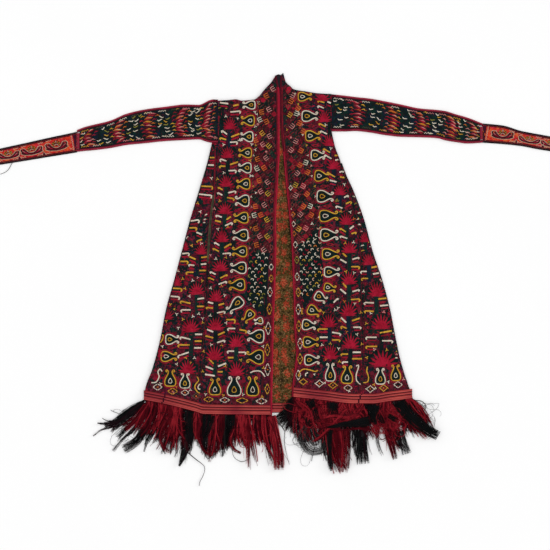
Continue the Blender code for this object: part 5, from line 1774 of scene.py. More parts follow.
# Colours of the small stitches in the warm patches and in the dark ones
FRONT_FILLERS = (
    ("maroon", "crimson", "purple", "red", "maroon"),
    ("dark", "green", "navy", "dark", "dark", "green"),
)
SLEEVE_FILLERS = (
    ("dark", "navy", "purple", "maroon", "green"),
    ("dark", "navy", "dark", "green"),
)
STRIP_FILLERS = (
    ("orange", "red", "crimson", "maroon", "orange", "peach"),
    ("orange", "red", "crimson", "orange"),
)
# The field is marked off in cells of this size, with one small stitch at most in each
FILLER_CELL = 9.0


def in_dark_patch(x, y):
    """Whether a place lies in one of the dark patches that wander over the ground."""
    wander = math.sin(x / 10 + 2 * math.sin(y / 19)) + math.sin(y / 12 + 2 * math.sin(x / 23))
    return wander > -0.1


def fillers(work, box, count, taken, colours=FRONT_FILLERS):
    """Short rows of dark and red stitches scattered between the motifs, none on another."""
    x0, y0, x1, y1 = box
    size = FILLER_CELL
    used = set()
    for x, y, r in taken:
        for i in range(int((x - r) // size), int((x + r) // size) + 1):
            for k in range(int((y - r) // size), int((y + r) // size) + 1):
                if math.hypot((i + 0.5) * size - x, (k + 0.5) * size - y) < r:
                    used.add((i, k))
    for _ in range(count):
        x = CHANCE.uniform(x0, x1)
        y = CHANCE.uniform(y0, y1)
        cell = (int(x // size), int(y // size))
        turn = CHANCE.choice((0.0, 90.0, 90.0, 45.0, 135.0)) + CHANCE.uniform(-18.0, 18.0)
        length = CHANCE.uniform(6.0, 13.0)
        colour = CHANCE.choice(colours[in_dark_patch(x, y)])
        width = CHANCE.uniform(2.4, 3.8)
        if cell in used or not work.inside(x, y):
            continue
        used.add(cell)
        stitch = dash(placed(x, y, turn), length, CHANCE.uniform(-1.5, 1.5))
        work.thread(stitch, width, colour, rise=0.6, taper=0.35)


def borders(work, edge_line, hem_line, from_x, to_x, away):
    """The plain maroon borders by the opening and the hem, with a thin dark line on their inner sides."""
    top = EDGE_BORDER_TOP
    low = hem_line(edge_line(-400)) + BRAID + 1

    def border_line(y):
        return edge_line(y) + away * EDGE_BORDER

    work.fill(lerp_band(edge_line, border_line, top, low, 7.0, 5), "border", 0.2)
    work.thread([(border_line(y), y) for y in range(int(top), int(low) + 30, -5)], 2.2, "dark")
    for distance, width, colour in ((2.0, 2.4, "red"), (5.0, 2.2, "maroon")):
        edge = [(edge_line(y) + away * distance, y) for y in range(640, int(low) - 30, -6)]
        work.thread(edge, width, colour, rise=0.7, lift=0.2)
    steps = 80
    rows = []
    for k in range(6):
        row = []
        for i in range(steps + 1):
            x = mix(from_x, to_x, i / steps)
            row.append((x, hem_line(x) + BRAID + 1 + (HEM_BORDER - 1) * k / 5))
        rows.append(row)
    work.fill(rows, "border", 0.24)
    work.thread(rows[-1], 2.2, "dark", lift=0.1)


def kept_clear(pears, fans, bars, combs):
    """Places that the scattered stitches keep clear of: x, y, radius."""
    taken = [(x, y, max(length, width) * 0.5 + 6) for x, y, _, length, width, _ in pears]
    for x, y, width, height, drop in fans:
        taken += [(x + part * width * 0.27, y - height * 0.14, width * 0.3) for part in (-1, 0, 1)]
        if drop:
            taken += [(x, y - 16 - drop * share, 9.0) for share in (0.0, 0.3, 0.6, 0.9)]
    for x0, y0, x1, y1, *_ in bars:
        taken += [(mix(x0, x1, share), mix(y0, y1, share) - 3, 9.0) for share in (0.0, 0.5, 1.0)]
    return taken + [(x, y, 10.0) for x, y, *_ in combs]


# The motifs of each front, in the order that embroider_front names them
FRONT_MOTIFS = {
    "left": (LEFT_PEARS, LEFT_CUT_PEARS, LEFT_FANS, LEFT_DIAMONDS, LEFT_COMBS, LEFT_BARS, LEFT_SPOTS,
             LEFT_STROKES, LEFT_MARKS),
    "right": (RIGHT_PEARS, RIGHT_CUT_PEARS, RIGHT_FANS, RIGHT_DIAMONDS, RIGHT_COMBS, RIGHT_BARS, RIGHT_SPOTS,
              RIGHT_STROKES, RIGHT_MARKS),
}
# The column of pears beside the opening runs down to this level. A guard line lies this far from it,
# towards the opening
PEAR_COLUMN_TO = -60
GUARD_REACH = 31.0
# Tries at a scattered mark and at a small filling stitch
SCATTERED_MARKS = 70
FRONT_STITCHES = 9000
SLEEVE_STITCHES = 420
STRIP_STITCHES = 260


def embroider_front(side):
    """All the stitching of one front and its gore."""
    left = side == "left"
    pears, cut_pears, fans, diamonds, combs, bars, spots, strokes, marks = FRONT_MOTIFS[side]
    if left:
        inside, edge_line, seam, away = on_left_front, left_edge, left_seam, -1
    else:
        inside, edge_line, seam, away = on_right_front, right_edge, right_seam, 1
    work = Stitching(body_top, inside)
    taken = kept_clear(pears, fans, bars, combs)
    bright_combs = [(x, y, 13.5) for x, y, *_ in combs]
    column = [(x, y) for x, y, *_ in pears if y > PEAR_COLUMN_TO]

    def outer(y):
        return column_of(column, y) - away * GUARD_REACH

    if left:
        borders(work, edge_line, left_hem, -440, -16, away)
        work.fill(lerp_band(lambda y: LEFT_ARMHOLE, lambda y: LEFT_ARMHOLE + ARMHOLE_STRIP,
                            *ARMHOLE_LEVELS), "dark", 0.25)
        lattice(work, outer, lambda y: edge_line(y) - 11, 640, LEFT_HOOKS[0], bright_combs)
        hook_field(work, lambda y: column_of(LEFT_HOOK_SIDE, y), lambda y: edge_line(y) - 20,
                   *LEFT_HOOKS, 21.0)
        hook_columns = range(-98, -22, 9)
        hook_rows = range(int(LEFT_HOOKS[1]), int(LEFT_HOOKS[0]), 9)
    else:
        borders(work, edge_line, right_hem, 64, 460, away)
        work.fill(lerp_band(lambda y: RIGHT_ARMHOLE - ARMHOLE_STRIP * 0.7, lambda y: RIGHT_ARMHOLE,
                            *ARMHOLE_LEVELS), "dark", 0.25)
        lattice(work, lambda y: edge_line(y) + 11, lambda y: min(outer(y), column_of(RIGHT_HOOK_TOP, y)),
                640, 60.0, bright_combs)
        hook_field(work, lambda y: max(edge_line(y) + 20, column_of(RIGHT_HOOK_TOP, y)),
                   lambda y: column_of(RIGHT_HOOK_SIDE, y), *RIGHT_HOOKS, 20.0)
        hook_columns = range(88, 150, 9)
        hook_rows = range(int(RIGHT_HOOKS[1]), int(RIGHT_HOOKS[0]), 9)
    taken += [(outer(y), y, 8.0) for y in range(80, 620, 12)]
    taken += [(x, y, 9.0) for y in hook_rows for x in hook_columns]
    for x, y, width, height, drop in fans:
        if drop:
            stem(work, x, y - height * FAN_FOOT, drop)
        fan(work, x, y, width, height, CHANCE.uniform(-5, 5))
    for k, row in enumerate(pears):
        pear(work, *row, "maroon" if k % 2 else "purple")
    for (x0, y0, *_), (x1, y1, *_) in zip(pears, pears[1:]):
        if abs(x1 - x0) < 18 and abs(y1 - y0) < 80:
            link(work, (x0 + x1) / 2, (y0 + y1) / 2)
    for points, colour in cut_pears:
        work.thread(smooth_path(points, 3.0), OUTLINE_THREAD, colour, rise=1.0, lift=0.1)
    for row in bars:
        barred(work, *row)
    for x, y, length, turn, colour in strokes:
        work.thread(dash(placed(x, y, turn), length, 1.2), 3.6, colour, rise=0.9, lift=0.12, taper=0.15)
    for x, y, colour in marks:
        three_strokes(work, x, y, colour, 5.8)
        taken.append((x, y, 8.0))
    for row in diamonds:
        diamond(work, *row)
    for row in combs:
        comb(work, *row)
    for row in spots:
        spot(work, *row)
    guard = [(outer(y) + (2.2 if k % 2 else -2.2), y) for k, y in enumerate(range(618, 60, -7))]
    work.thread(guard, 1.8, "olive", rise=0.6, lift=0.1)
    for k, (x, y) in enumerate(guard[::5]):
        three_strokes(work, x - away, y, ("ivory", "mustard", "ivory", "pink")[k % 4], 4.0)
    for _ in range(SCATTERED_MARKS):
        x = CHANCE.uniform(-440, -10) if left else CHANCE.uniform(40, 460)
        y = CHANCE.uniform(-400, 600)
        if all(math.hypot(x - a, y - b) > r + 4 for a, b, r in taken) and inside(x, y):
            three_strokes(work, x, y, CHANCE.choice(("ivory", "ivory", "mustard", "pink")))
            taken.append((x, y, 8.0))
    box = (-446, -430, -10, 600) if left else (30, -400, 476, 620)
    fillers(work, box, FRONT_STITCHES, taken)
    for offset, colour in ((-5.5, "maroon"), (0.0, "dark"), (5.5, "maroon")):
        work.thread([(seam(y) + offset, y) for y in range(-380, 440, 6)], 2.0, colour, lift=0.15)
    # The olive stretch and the crimson line beside the left seam
    if left:
        work.fill(lerp_band(lambda y: seam(y) - 4, lambda y: seam(y) + 3, 274, 46), "olive", 0.5)
        beside_seam = [(-204 + 0.004 * (y - 430), y) for y in range(426, 240, -6)]
        work.thread(beside_seam, 2.2, "crimson", lift=0.2)
    return work.piece(f"embroidery_{side}")


# Clusters of flame stitches along the sleeves: x of each warm cluster's middle, then of each pale one's
LEFT_WARM = [-226, -318, -425, -530, -630]
LEFT_PALE = [-272, -372, -478, -580, -664]
RIGHT_WARM = [275, 396, 493, 598, 672]
RIGHT_PALE = [222, 336, 445, 546, 636, 697]
# Their rows' spacing, how far a cluster bows towards the hand, and the share of pale ticks that is stitched
FLAME_ROW = 12.0
FLAME_BOW = 15.0
TICK_SHARE = 0.75


def flame(work, x, y, length, width, colour, lean, top=None):
    """A peaked dash of stitches, drawn out to a point at both ends, with a paler one on it."""
    at = placed(x, y, lean)
    peak = CHANCE.uniform(-0.2, 0.1) * length
    path = [at(-length / 2, -2.4), at(peak, 2.2), at(length * 0.25, -0.4), at(length / 2, 1.2)]
    work.thread(smooth_path(path, 3.5), width, colour, rise=0.9, taper=0.5, lift=0.1)
    if top:
        path = [at(-length * 0.22, -0.6), at(peak + 3, 2.4), at(length * 0.42, 1.4)]
        work.thread(smooth_path(path, 3.5), width * 0.5, top, rise=0.9, taper=0.5, lift=0.5)


def tick(work, x, y, length, width, colour, lean):
    """A small bent stroke: a short arm down and a longer one up, or the same the other way round."""
    way = CHANCE.choice((1, 1, -1))
    at = placed(x, y, lean)
    start = at(-way * length * 0.5, 1.2)
    bend = at(-way * length * 0.22, -2.4)
    end = at(way * length * 0.5, 2.6)
    path = [start, bend, at(way * length * 0.14, 0.4), end]
    work.thread(smooth_path(path, 3.0), width, colour, rise=0.85, taper=0.2, lift=0.15)


def warm_flames(work, x, y, lean, toward_hand):
    """A crimson flame with a paler one on it, a thin one below and a short one past each end."""
    top = CHANCE.choice(("pink", "peach", "orange", "peach", "pink", "mustard"))
    base = CHANCE.choice(("crimson", "orange", "crimson", "red", "crimson"))
    flame(work, x, y, CHANCE.uniform(26, 38), 6.2, base, lean, top)
    flame(work, x + 3 * toward_hand, y - FLAME_ROW * 0.5, CHANCE.uniform(20, 34), 3.4,
          CHANCE.choice(("crimson", "crimson", "red", "maroon")), lean)
    flame(work, x + 20 * toward_hand, y + CHANCE.uniform(1, 5), CHANCE.uniform(12, 18), 3.6,
          CHANCE.choice(("crimson", "red", "mustard")), lean)
    flame(work, x - 20 * toward_hand, y - CHANCE.uniform(1, 5), CHANCE.uniform(12, 18), 3.4,
          CHANCE.choice(("crimson", "orange", "pink")), lean)


def pale_ticks(work, x, y, lean):
    """Two pale ticks side by side, of which some are left out."""
    for offset, rise in ((-11, -3.0), (11, 3.0)):
        colour = CHANCE.choice(("ivory", "ivory", "ivory", "ivory", "mustard", "lime"))
        if CHANCE.random() < TICK_SHARE:
            tick_x = x + offset + CHANCE.uniform(-3, 3)
            tick_y = y + rise + CHANCE.uniform(-2, 2)
            tick(work, tick_x, tick_y, CHANCE.uniform(12, 18), 2.8, colour, lean)


def embroider_sleeve(side, rows, warm, pale):
    """Rows of flame stitches in bowed clusters, with zigzags beside the bindings."""
    toward_hand = -1 if side == "left" else 1
    inset = SLEEVE_BINDING + SEAM
    first = min(rows[0][0], rows[-1][0]) + (inset if side == "left" else 1.0)
    last = max(rows[0][0], rows[-1][0]) - (inset if side == "right" else 1.0)

    def low(x):
        return curve_value(rows, x, 1) + inset

    def high(x):
        return curve_value(rows, x, 2) - inset

    def inside(x, y):
        return first < x < last and low(x) + 1.2 < y < high(x) - 1.2

    work = Stitching(sleeve_top, inside)
    tilt, scatter = (0.0, 17.0) if side == "left" else (-14.0, 8.0)
    for centres, is_warm in ((warm, True), (pale, False)):
        for centre in centres:
            count = max(3, round((high(centre) - low(centre) - 8) / FLAME_ROW))
            for k in range(count):
                share = (k + 0.5) / count
                x = centre + toward_hand * FLAME_BOW * (0.5 - (2 * share - 1) ** 2) + CHANCE.uniform(-3, 3)
                slope = (high(x + 5) - high(x - 5)) / 10 * share
                slope += (low(x + 5) - low(x - 5)) / 10 * (1 - share)
                lean = math.degrees(math.atan(slope)) + tilt + CHANCE.uniform(-scatter, scatter)
                y = mix(low(x) + 4, high(x) - 4, share)
                if is_warm:
                    warm_flames(work, x, y, lean, toward_hand)
                else:
                    pale_ticks(work, x, y, lean)
    fillers(work, (first, 420, last, 618), SLEEVE_STITCHES, [], SLEEVE_FILLERS)
    for line, away in ((low, 5.0), (high, -5.0)):
        x = first + 6
        while x < last - 6:
            colour = CHANCE.choice(("ivory", "mustard", "ivory", "olive", "pink"))
            path = [(x + 4.2 * i, line(x + 4.2 * i) + away + (2.4 if i % 2 else -1.6)) for i in range(7)]
            work.thread(path, 2.1, colour, rise=0.8, lift=0.4)
            x += 29 + CHANCE.uniform(8, 34)
    return work.piece(f"embroidery_sleeve_{side}")


# Boats along the strips: x of each one's middle, from the sleeve outwards
LEFT_BOATS = [-743, -827, -906, -985]
RIGHT_BOATS = [774, 865, 940, 1008]


def boat(work, x, y, turn, wide, size):
    """A bowed bar of dark stitches with round ends, outlined in peach, and half a rosette over it."""
    at = placed(x, y, turn)
    half = wide / 2
    spine = [(u, -0.20 + 0.42 * u * u) for u in (-0.84, -0.6, -0.35, -0.1, 0.1, 0.35, 0.6, 0.84)]
    upper = []
    lower = []
    for u, v in spine:
        thick = 0.115 + 0.085 * smooth_step((abs(u) - 0.2) / 0.5)
        lean = 0.84 * u * size / half
        upper.append(at(u * half - lean * thick * size, (v + thick) * size))
        lower.append(at(u * half + lean * thick * size, (v - thick) * size))
    ends = []
    for sign in (1, -1):
        u, v = spine[-1] if sign > 0 else spine[0]
        ends.append([at((u + sign * bulge) * half, (v + part) * size)
                     for bulge, part in ((0.12, -0.11), (0.19, 0.05), (0.12, 0.18))])
    middle = [((a[0] + b[0]) / 2, (a[1] + b[1]) / 2) for a, b in zip(lower, upper)]
    work.fill([lower, middle, upper], "maroon", 0.35)
    for sign, end in zip((1, -1), ends):
        u, v = spine[-1] if sign > 0 else spine[0]
        near = [at(u * half, (v + part) * size) for part in (-0.19, 0.02, 0.2)]
        work.fill([near, end], "maroon", 0.35)
    outline = lower + ends[0] + list(reversed(upper)) + list(reversed(ends[1]))
    work.thread(smooth_path(outline, 3.5, True), 2.2, "peach", closed=True, rise=0.8, lift=0.35)
    rim = [(mix(x, a, 0.93), mix(y, b, 0.93)) for a, b in smooth_path(outline, 4.0, True)]
    work.thread(rim, 1.9, "dark", closed=True, rise=0.6, lift=0.3)
    for sign in (1, -1):
        lobe = [at(sign * u * half, v * size) for u, v in spine[5:]]
        work.thread(smooth_path(lobe, 4.0), 3.2, "crimson", rise=0.7, lift=0.4, taper=0.4)
        shine = [at(sign * u * half, (v + 0.02) * size) for u, v in spine[6:]]
        work.thread(smooth_path(shine, 4.0), 1.9, "pink", rise=0.7, lift=0.7, taper=0.4)
    disc = []
    for r in (0.05, 0.5, 1.0):
        angles = [math.pi * k / 8 for k in range(9)]
        disc.append([at(math.cos(angle) * half * 0.42 * r, size * (0.03 + math.sin(angle) * 0.42 * r))
                     for angle in angles])
    work.fill(disc, "maroon", 0.3)
    for k in range(7):
        angle = math.pi * (k + 0.5) / 7
        petal = placed(*at(math.cos(angle) * half * 0.33, size * (0.04 + math.sin(angle) * 0.31)),
                       turn + math.degrees(angle))
        work.thread([petal(-4.6, 0.0), petal(0.0, 0.0), petal(4.6, 0.0)], 4.0,
                    ("orange", "lime", "orange", "peach")[k % 4], rise=0.9, lift=0.45, taper=0.5)
    hub = [at(half * 0.16 * math.cos(math.pi * k / 6), size * (0.04 + 0.12 * math.sin(math.pi * k / 6)))
           for k in range(7)]
    work.thread(hub, 2.2, "peach", rise=0.8, lift=0.35)


def embroider_strip(side, rows, boats):
    """Boats with rosettes on the orange ground, a pale zigzag and triangles between."""
    inset = STRIP_BINDING + SEAM
    first = rows[0][0] + 0.4
    last = rows[-1][0] - 0.4

    def low(x):
        return curve_value(rows, x, 1) + inset

    def high(x):
        return curve_value(rows, x, 2) - inset

    def height(x, y):
        return strip_height((y - low(x)) / (high(x) - low(x))) + strip_ruck(x)

    work = Stitching(height, lambda x, y: first < x < last and low(x) + 0.8 < y < high(x) - 0.8)
    for k, x in enumerate(boats):
        tall = high(x) - low(x)
        slope = math.degrees(math.atan((low(x + 30) - low(x - 30)) / 60))
        boat(work, x, low(x) + tall * 0.46, slope, 76, tall * 0.86)
        between = x + (boats[1] - boats[0]) / 2
        base = placed(between, low(between) + 1.5, slope)
        work.fill([[base(-5.5, 0.0), base(5.5, 0.0)], [base(-0.6, 10.5), base(0.6, 10.5)]], "purple", 0.3)
        work.thread([base(-7.5, 1.0), base(0.0, 13.0), base(7.5, 1.0)], 2.0, "peach", rise=0.7, lift=0.3)
        hook = placed(between, high(between) - 6.0, slope + 25)
        bent = [hook(-7.0, 0.0), hook(0.0, 1.5), hook(7.0, -1.0)]
        work.thread(bent, 3.4, "maroon", rise=0.8, taper=0.5, lift=0.2)
        for step in (-22, -11, 11, 22):
            for level, up in ((low(between + step) + 5.0, 1), (high(between + step) - 5.0, -1)):
                at = placed(between + step * 0.8, level, slope)
                peak = [at(-4.5, -1.5 * up), at(0.0, 2.5 * up), at(4.5, -1.5 * up)]
                work.thread(peak, 1.9, "peach", rise=0.7, lift=0.2)
    for line, away in ((low, 1.9), (high, -1.9)):
        steps = round((last - first) / 8)
        edge = [mix(first, last, (k + 0.5) / steps) for k in range(steps)]
        work.thread([(x, line(x) + away) for x in edge], 3.0, "maroon", rise=0.8, lift=0.2)
    inner = last if side == "left" else first
    into = -1 if side == "left" else 1

    def by_end(reach, share):
        x = inner + into * reach
        return x, mix(low(x) + 1, high(x) - 1, share)

    band = [[by_end(0.1 + part * mix(6.0, 13.0, i / 6), i / 6) for i in range(7)] for part in (0.0, 0.5, 1.0)]
    work.fill(band, "purple", 0.3)
    zigzag = [by_end(mix(9.0, 19.0, i / 14) + (1.8 if i % 2 else -1.4), i / 14) for i in range(15)]
    work.thread(zigzag, 2.2, "peach", rise=0.8, lift=0.2)
    taken = [(x, low(x) + (high(x) - low(x)) * 0.5, 30.0) for x in boats]
    fillers(work, (first, 360, last, 520), STRIP_STITCHES, taken, STRIP_FILLERS)
    return work.piece(f"embroidery_strip_{side}", "strip_silk")


# Fringe


def strand_point(row, hem_line, across, along):
    """A point of a strand, from the share across its row of locks and the share of its length."""
    root_from, root_to, x0, y0, x1, y1, bow, drop, _, _ = row
    root_x = mix(root_from, root_to, across)
    root_y = hem_line(root_x) - FRINGE_SEAM
    tip_x = mix(x0, x1, across)
    tip_y = mix(y0, y1, across)
    length = math.hypot(tip_x - root_x, tip_y - root_y)
    bend_x = root_x + bow
    bend_y = root_y - drop * length
    a = (1 - along) ** 2
    b = 2 * along * (1 - along)
    c = along**2
    return a * root_x + b * bend_x + c * tip_x, a * root_y + b * bend_y + c * tip_y


def level_share(y):
    """How much of its height above the surface each level keeps at this y."""
    return 1 - LEVEL_SINK * max(SINK_FROM - y, 0.0) / (SINK_FROM - SINK_TO)


def resting_height(level, y, t):
    """Height of a strand of this level above the surface at a share t of its length."""
    return LEVEL_HEIGHT[level] * level_share(y) * mix(1.0, 0.72, t * t)


def lock_spread(row):
    """The width of a row of locks at its root, or most of that at its tips if it is wider."""
    root_from, root_to, x0, y0, x1, y1, *_ = row
    return max(root_to - root_from, 0.7 * math.hypot(x1 - x0, y1 - y0))


def chosen_shade(weights):
    """A shade's number, drawn by the shades' shares."""
    return CHANCE.choices(range(len(weights)), weights)[0]


class Threads:
    """Fine round threads of one fringe, gathered into one piece."""

    def __init__(self):
        self.vertices = []
        self.faces = []
        self.shades = []

    def draw(self, path, radius, shade_number):
        """A three-sided thread along (x, y, z) points, closed at both ends."""
        start = len(self.vertices)
        count = len(path)
        for i, (x, y, z) in enumerate(path):
            x0, y0, _ = path[max(i - 1, 0)]
            x1, y1, _ = path[min(i + 1, count - 1)]
            length = math.hypot(x1 - x0, y1 - y0) or 1.0
            r = radius * (1 - THREAD_TAPER * i / (count - 1))
            side_x = -(y1 - y0) / length * r
            side_y = (x1 - x0) / length * r
            self.vertices.append((x, y, z + r))
            self.vertices.append((x - side_x * SIN_60, y - side_y * SIN_60, z - r / 2))
            self.vertices.append((x + side_x * SIN_60, y + side_y * SIN_60, z - r / 2))
        for i in range(count - 1):
            a = start + 3 * i
            for k in range(3):
                n = (k + 1) % 3
                self.faces.append((a + k, a + n, a + n + 3, a + k + 3))
        end = start + 3 * (count - 1)
        self.faces.append((start, start + 2, start + 1))
        self.faces.append((end, end + 1, end + 2))
        self.shades += [shade_number] * (3 * (count - 1) + 2)

    def locks(self, rows, hem_line, root_top, per_mm, weights):
        """The threads of every row of locks: most gather into small tufts as they fall, the rest stray."""
        for row in rows:
            level, count = row[-2:]
            tufts = max(2, round(count * TUFTS_A_LOCK))
            each = max(6, round(lock_spread(row) * per_mm / tufts))
            for tuft in range(tufts):
                centre = (tuft + 0.5 + CHANCE.uniform(-0.35, 0.35)) / tufts
                reach = CHANCE.uniform(*THREAD_REACH)
                sway = CHANCE.gauss(0, TUFT_SWAY)
                bend = CHANCE.gauss(0, TUFT_SWAY * 0.6)
                common = chosen_shade(weights)
                for _ in range(each):
                    stray = CHANCE.random() < STRAYS
                    at = centre + CHANCE.uniform(-1.1, 1.1) / tufts
                    gather = CHANCE.uniform(-0.3, 0.3) if stray else CHANCE.uniform(0.35, 0.92)
                    own = CHANCE.uniform(0, 2 * math.pi)
                    lean = CHANCE.gauss(0, STRAY_SWAY) if stray else CHANCE.gauss(0, 1.6)
                    curl = CHANCE.gauss(0, STRAY_SWAY * 0.5) if stray else CHANCE.gauss(0, 1.0)
                    lift = CHANCE.uniform(-0.9, 1.7)
                    length = min(reach * CHANCE.uniform(0.8, 1.05), 1.0)
                    wave = abs(CHANCE.gauss(0, 1.8))
                    ripple = CHANCE.uniform(5.0, 12.0)
                    radius = THREAD_RADIUS * CHANCE.uniform(0.7, 1.15)
                    own_shade = chosen_shade(weights)
                    shade_number = common if CHANCE.random() < SHADE_OF_TUFT else own_shade
                    path = []
                    for i in range(THREAD_STEPS + 1):
                        t = i / THREAD_STEPS
                        across = mix(at, centre, gather * smooth_step(t * 1.25))
                        x, y = strand_point(row, hem_line, min(max(across, 0.0), 1.0), t * length)
                        x += (sway + lean) * t * t + (bend + curl) * math.sin(math.pi * t)
                        x += wave * t * math.sin(ripple * t + own)
                        y += 0.25 * lean * t * t
                        resting = resting_height(level, y, t) + lift
                        z = mix(root_top(x) - 0.7, resting, smooth_step(t * 5))
                        path.append((x, y, max(z, THREAD_RADIUS + 0.2)))
                    self.draw(path, radius, shade_number)

    def plies(self, rows, hem_line, root_top, per_mm, weights):
        """Thicker strands over the locks, each of three threads side by side."""
        for row in rows:
            level = row[-2]
            for _ in range(max(2, round(lock_spread(row) * per_mm))):
                start = CHANCE.uniform(0.02, 0.98)
                end = min(max(start + CHANCE.gauss(0, 0.25), 0.0), 1.0)
                length = CHANCE.uniform(0.55, 1.0)
                bow = CHANCE.gauss(0, 8.0)
                wave = CHANCE.uniform(0.5, 3.5)
                ripple = CHANCE.uniform(3.0, 8.0)
                own = CHANCE.uniform(0, 2 * math.pi)
                lift = CHANCE.uniform(1.5, 2.8)
                shade_number = chosen_shade(weights)
                flat = []
                rise = []
                for i in range(THREAD_STEPS + 1):
                    t = i / THREAD_STEPS
                    x, y = strand_point(row, hem_line, mix(start, end, smooth_step(t)), t * length)
                    x += bow * math.sin(math.pi * t) + wave * t * math.sin(ripple * t + own)
                    resting = resting_height(level, y, t) + lift
                    flat.append((x, y))
                    rise.append(mix(root_top(x) - 0.4, resting, smooth_step(t * 5)))
                for offset in (-PLY_WIDTH, 0.0, PLY_WIDTH):
                    path = [(x, y, z) for (x, y), z in zip(beside(flat, offset), rise)]
                    self.draw(path, THREAD_RADIUS, shade_number)

    def heading(self, hem_line, root_top, from_x, to_x, weights):
        """A few twisted threads along the hem, from which the fringe falls."""
        steps = round((to_x - from_x) / 5)
        for turn in range(4):
            path = []
            for k in range(steps + 1):
                x = mix(from_x, to_x, k / steps)
                phase = x / 3.2 + turn * math.pi / 2
                y = hem_line(x) - FRINGE_SEAM - 1.6 + 0.9 * math.sin(phase)
                path.append((x, y, root_top(x) - 0.3 + 0.5 * math.cos(phase)))
            self.draw(path, 0.7, chosen_shade(weights))

    def tangle(self, x0, y0, x1, y1, number, length, height, weights):
        """Loose threads that wander in loops within a patch of the fringe."""
        step = 4.5
        radius = FINE_RADIUS if height < TANGLE_LOW else TANGLE_RADIUS
        for _ in range(number):
            x = CHANCE.uniform(x0, x1)
            y = CHANCE.uniform(y0, y1)
            heading = CHANCE.uniform(0, 2 * math.pi)
            turn = CHANCE.gauss(0, 0.2)
            lift = CHANCE.uniform(-0.6, 1.4)
            path = []
            for i in range(round(length * CHANCE.uniform(0.6, 1.2) / step)):
                path.append((x, y, height + lift + 0.5 * math.sin(i / 3.0)))
                turn = min(max(turn + CHANCE.gauss(0, 0.10), -0.42), 0.42)
                if not (x0 < x < x1 and y0 < y < y1):
                    home = math.atan2((y0 + y1) / 2 - y, (x0 + x1) / 2 - x)
                    turn = 0.35 * math.sin(home - heading)
                heading += turn
                x += step * math.cos(heading)
                y = min(y + step * math.sin(heading), y1 + TANGLE_SPILL)
            if len(path) > 4:
                self.draw(path, radius, chosen_shade(weights))

    def bundle(self, points, width_from, width_to, number, height, weights):
        """Loose threads that sweep along a path over the fringe."""
        middle = smooth_path(points, 10.0)
        count = len(middle)
        streaks = CHANCE.choices(range(len(weights)), weights, k=9)
        full = number > FEW_THREADS
        for _ in range(number):
            offset = CHANCE.uniform(-0.5, 0.5)
            lift = CHANCE.uniform(0.0, 1.6)
            own = CHANCE.uniform(0, 2 * math.pi)
            wave = CHANCE.uniform(0.4, 2.2) if full else 0.4
            path = []
            for i, (x, y) in enumerate(middle):
                t = i / (count - 1)
                x0, y0 = middle[max(i - 1, 0)]
                x1, y1 = middle[min(i + 1, count - 1)]
                length = math.hypot(x1 - x0, y1 - y0) or 1.0
                aside = offset * mix(width_from, width_to, t) + wave * math.sin(6 * t + own)
                rise = height * min(1.0, 3 * t + 0.8) + lift
                path.append((x - aside * (y1 - y0) / length, y + aside * (x1 - x0) / length, rise))
            cut = CHANCE.randrange(0, 3) if full else 0
            radius = THREAD_RADIUS * 0.85 if full else FINE_RADIUS
            own_shade = chosen_shade(weights)
            streak = streaks[int((offset + 0.5) * 8.9)]
            shade_number = streak if CHANCE.random() < SHADE_OF_STREAK else own_shade
            self.draw(path[:max(count - cut, 4)], radius, shade_number)

    def piece(self, name, materials, slot, node):
        return add_piece(name, self.vertices, self.faces, materials, self.shades, slot, [node])


# Loose bundles over each fringe: points, width from, width to, threads, height, shares of the shades
RIGHT_RED_BUNDLES = [
    ([(366, -452), (348, -470), (346, -492), (360, -512), (376, -506), (380, -482), (370, -456)],
     6, 5, 10, 11.2, (1, 3, 6)),
    ([(378, -452), (392, -466), (416, -474), (430, -492), (420, -504), (398, -500), (384, -486)],
     6, 5, 10, 11.2, (1, 3, 6)),
    ([(352, -448), (372, -486), (384, -520), (392, -540)], 5, 5, 8, 12.0, (1, 3, 6)),
    ([(86, -430), (108, -446), (124, -470), (132, -500), (150, -520)], 8, 6, 12, 11.8, (1, 3, 6)),
    ([(150, -446), (152, -470), (164, -496), (196, -506)], 8, 6, 12, 11.8, (1, 3, 6)),
    ([(96, -500), (84, -484), (88, -462), (104, -456), (116, -470), (112, -492)], 6, 5, 8, 11.4, (1, 3, 6)),
    ([(290, -474), (240, -480), (200, -476), (160, -486), (132, -504)], 18, 8, 44, 9.6, (4, 3, 4)),
    ([(326, -524), (280, -520), (230, -524), (172, -516), (150, -530)], 7, 5, 26, 10.4, (2, 4, 3)),
    ([(110, -428), (150, -452), (168, -490), (150, -540)], 22, 10, 36, 9.8, (3, 4, 2)),
    ([(70, -424), (104, -462), (150, -478), (176, -510)], 16, 7, 30, 9.4, (3, 4, 2)),
    ([(250, -450), (205, -500), (160, -545), (128, -566)], 12, 8, 24, 10.0, (3, 3, 1)),
    ([(300, -440), (262, -486), (210, -500), (150, -510)], 12, 8, 20, 9.8, (2, 4, 3)),
    ([(306, -512), (322, -534), (332, -558)], 34, 36, 50, 7.4, (4, 4, 3)),
    ([(352, -440), (338, -490), (352, -545)], 12, 18, 40, 9.4, (2, 4, 4)),
    ([(392, -440), (414, -484), (400, -530)], 14, 14, 36, 9.4, (2, 4, 4)),
    ([(384, -530), (396, -576), (408, -624)], 26, 14, 46, 7.4, (4, 4, 2)),
    ([(226, -526), (232, -590), (228, -668)], 56, 44, 70, 8.8, (3, 4, 3)),
    ([(470, -490), (500, -520), (524, -548)], 50, 40, 50, 8.0, (4, 4, 2)),
]
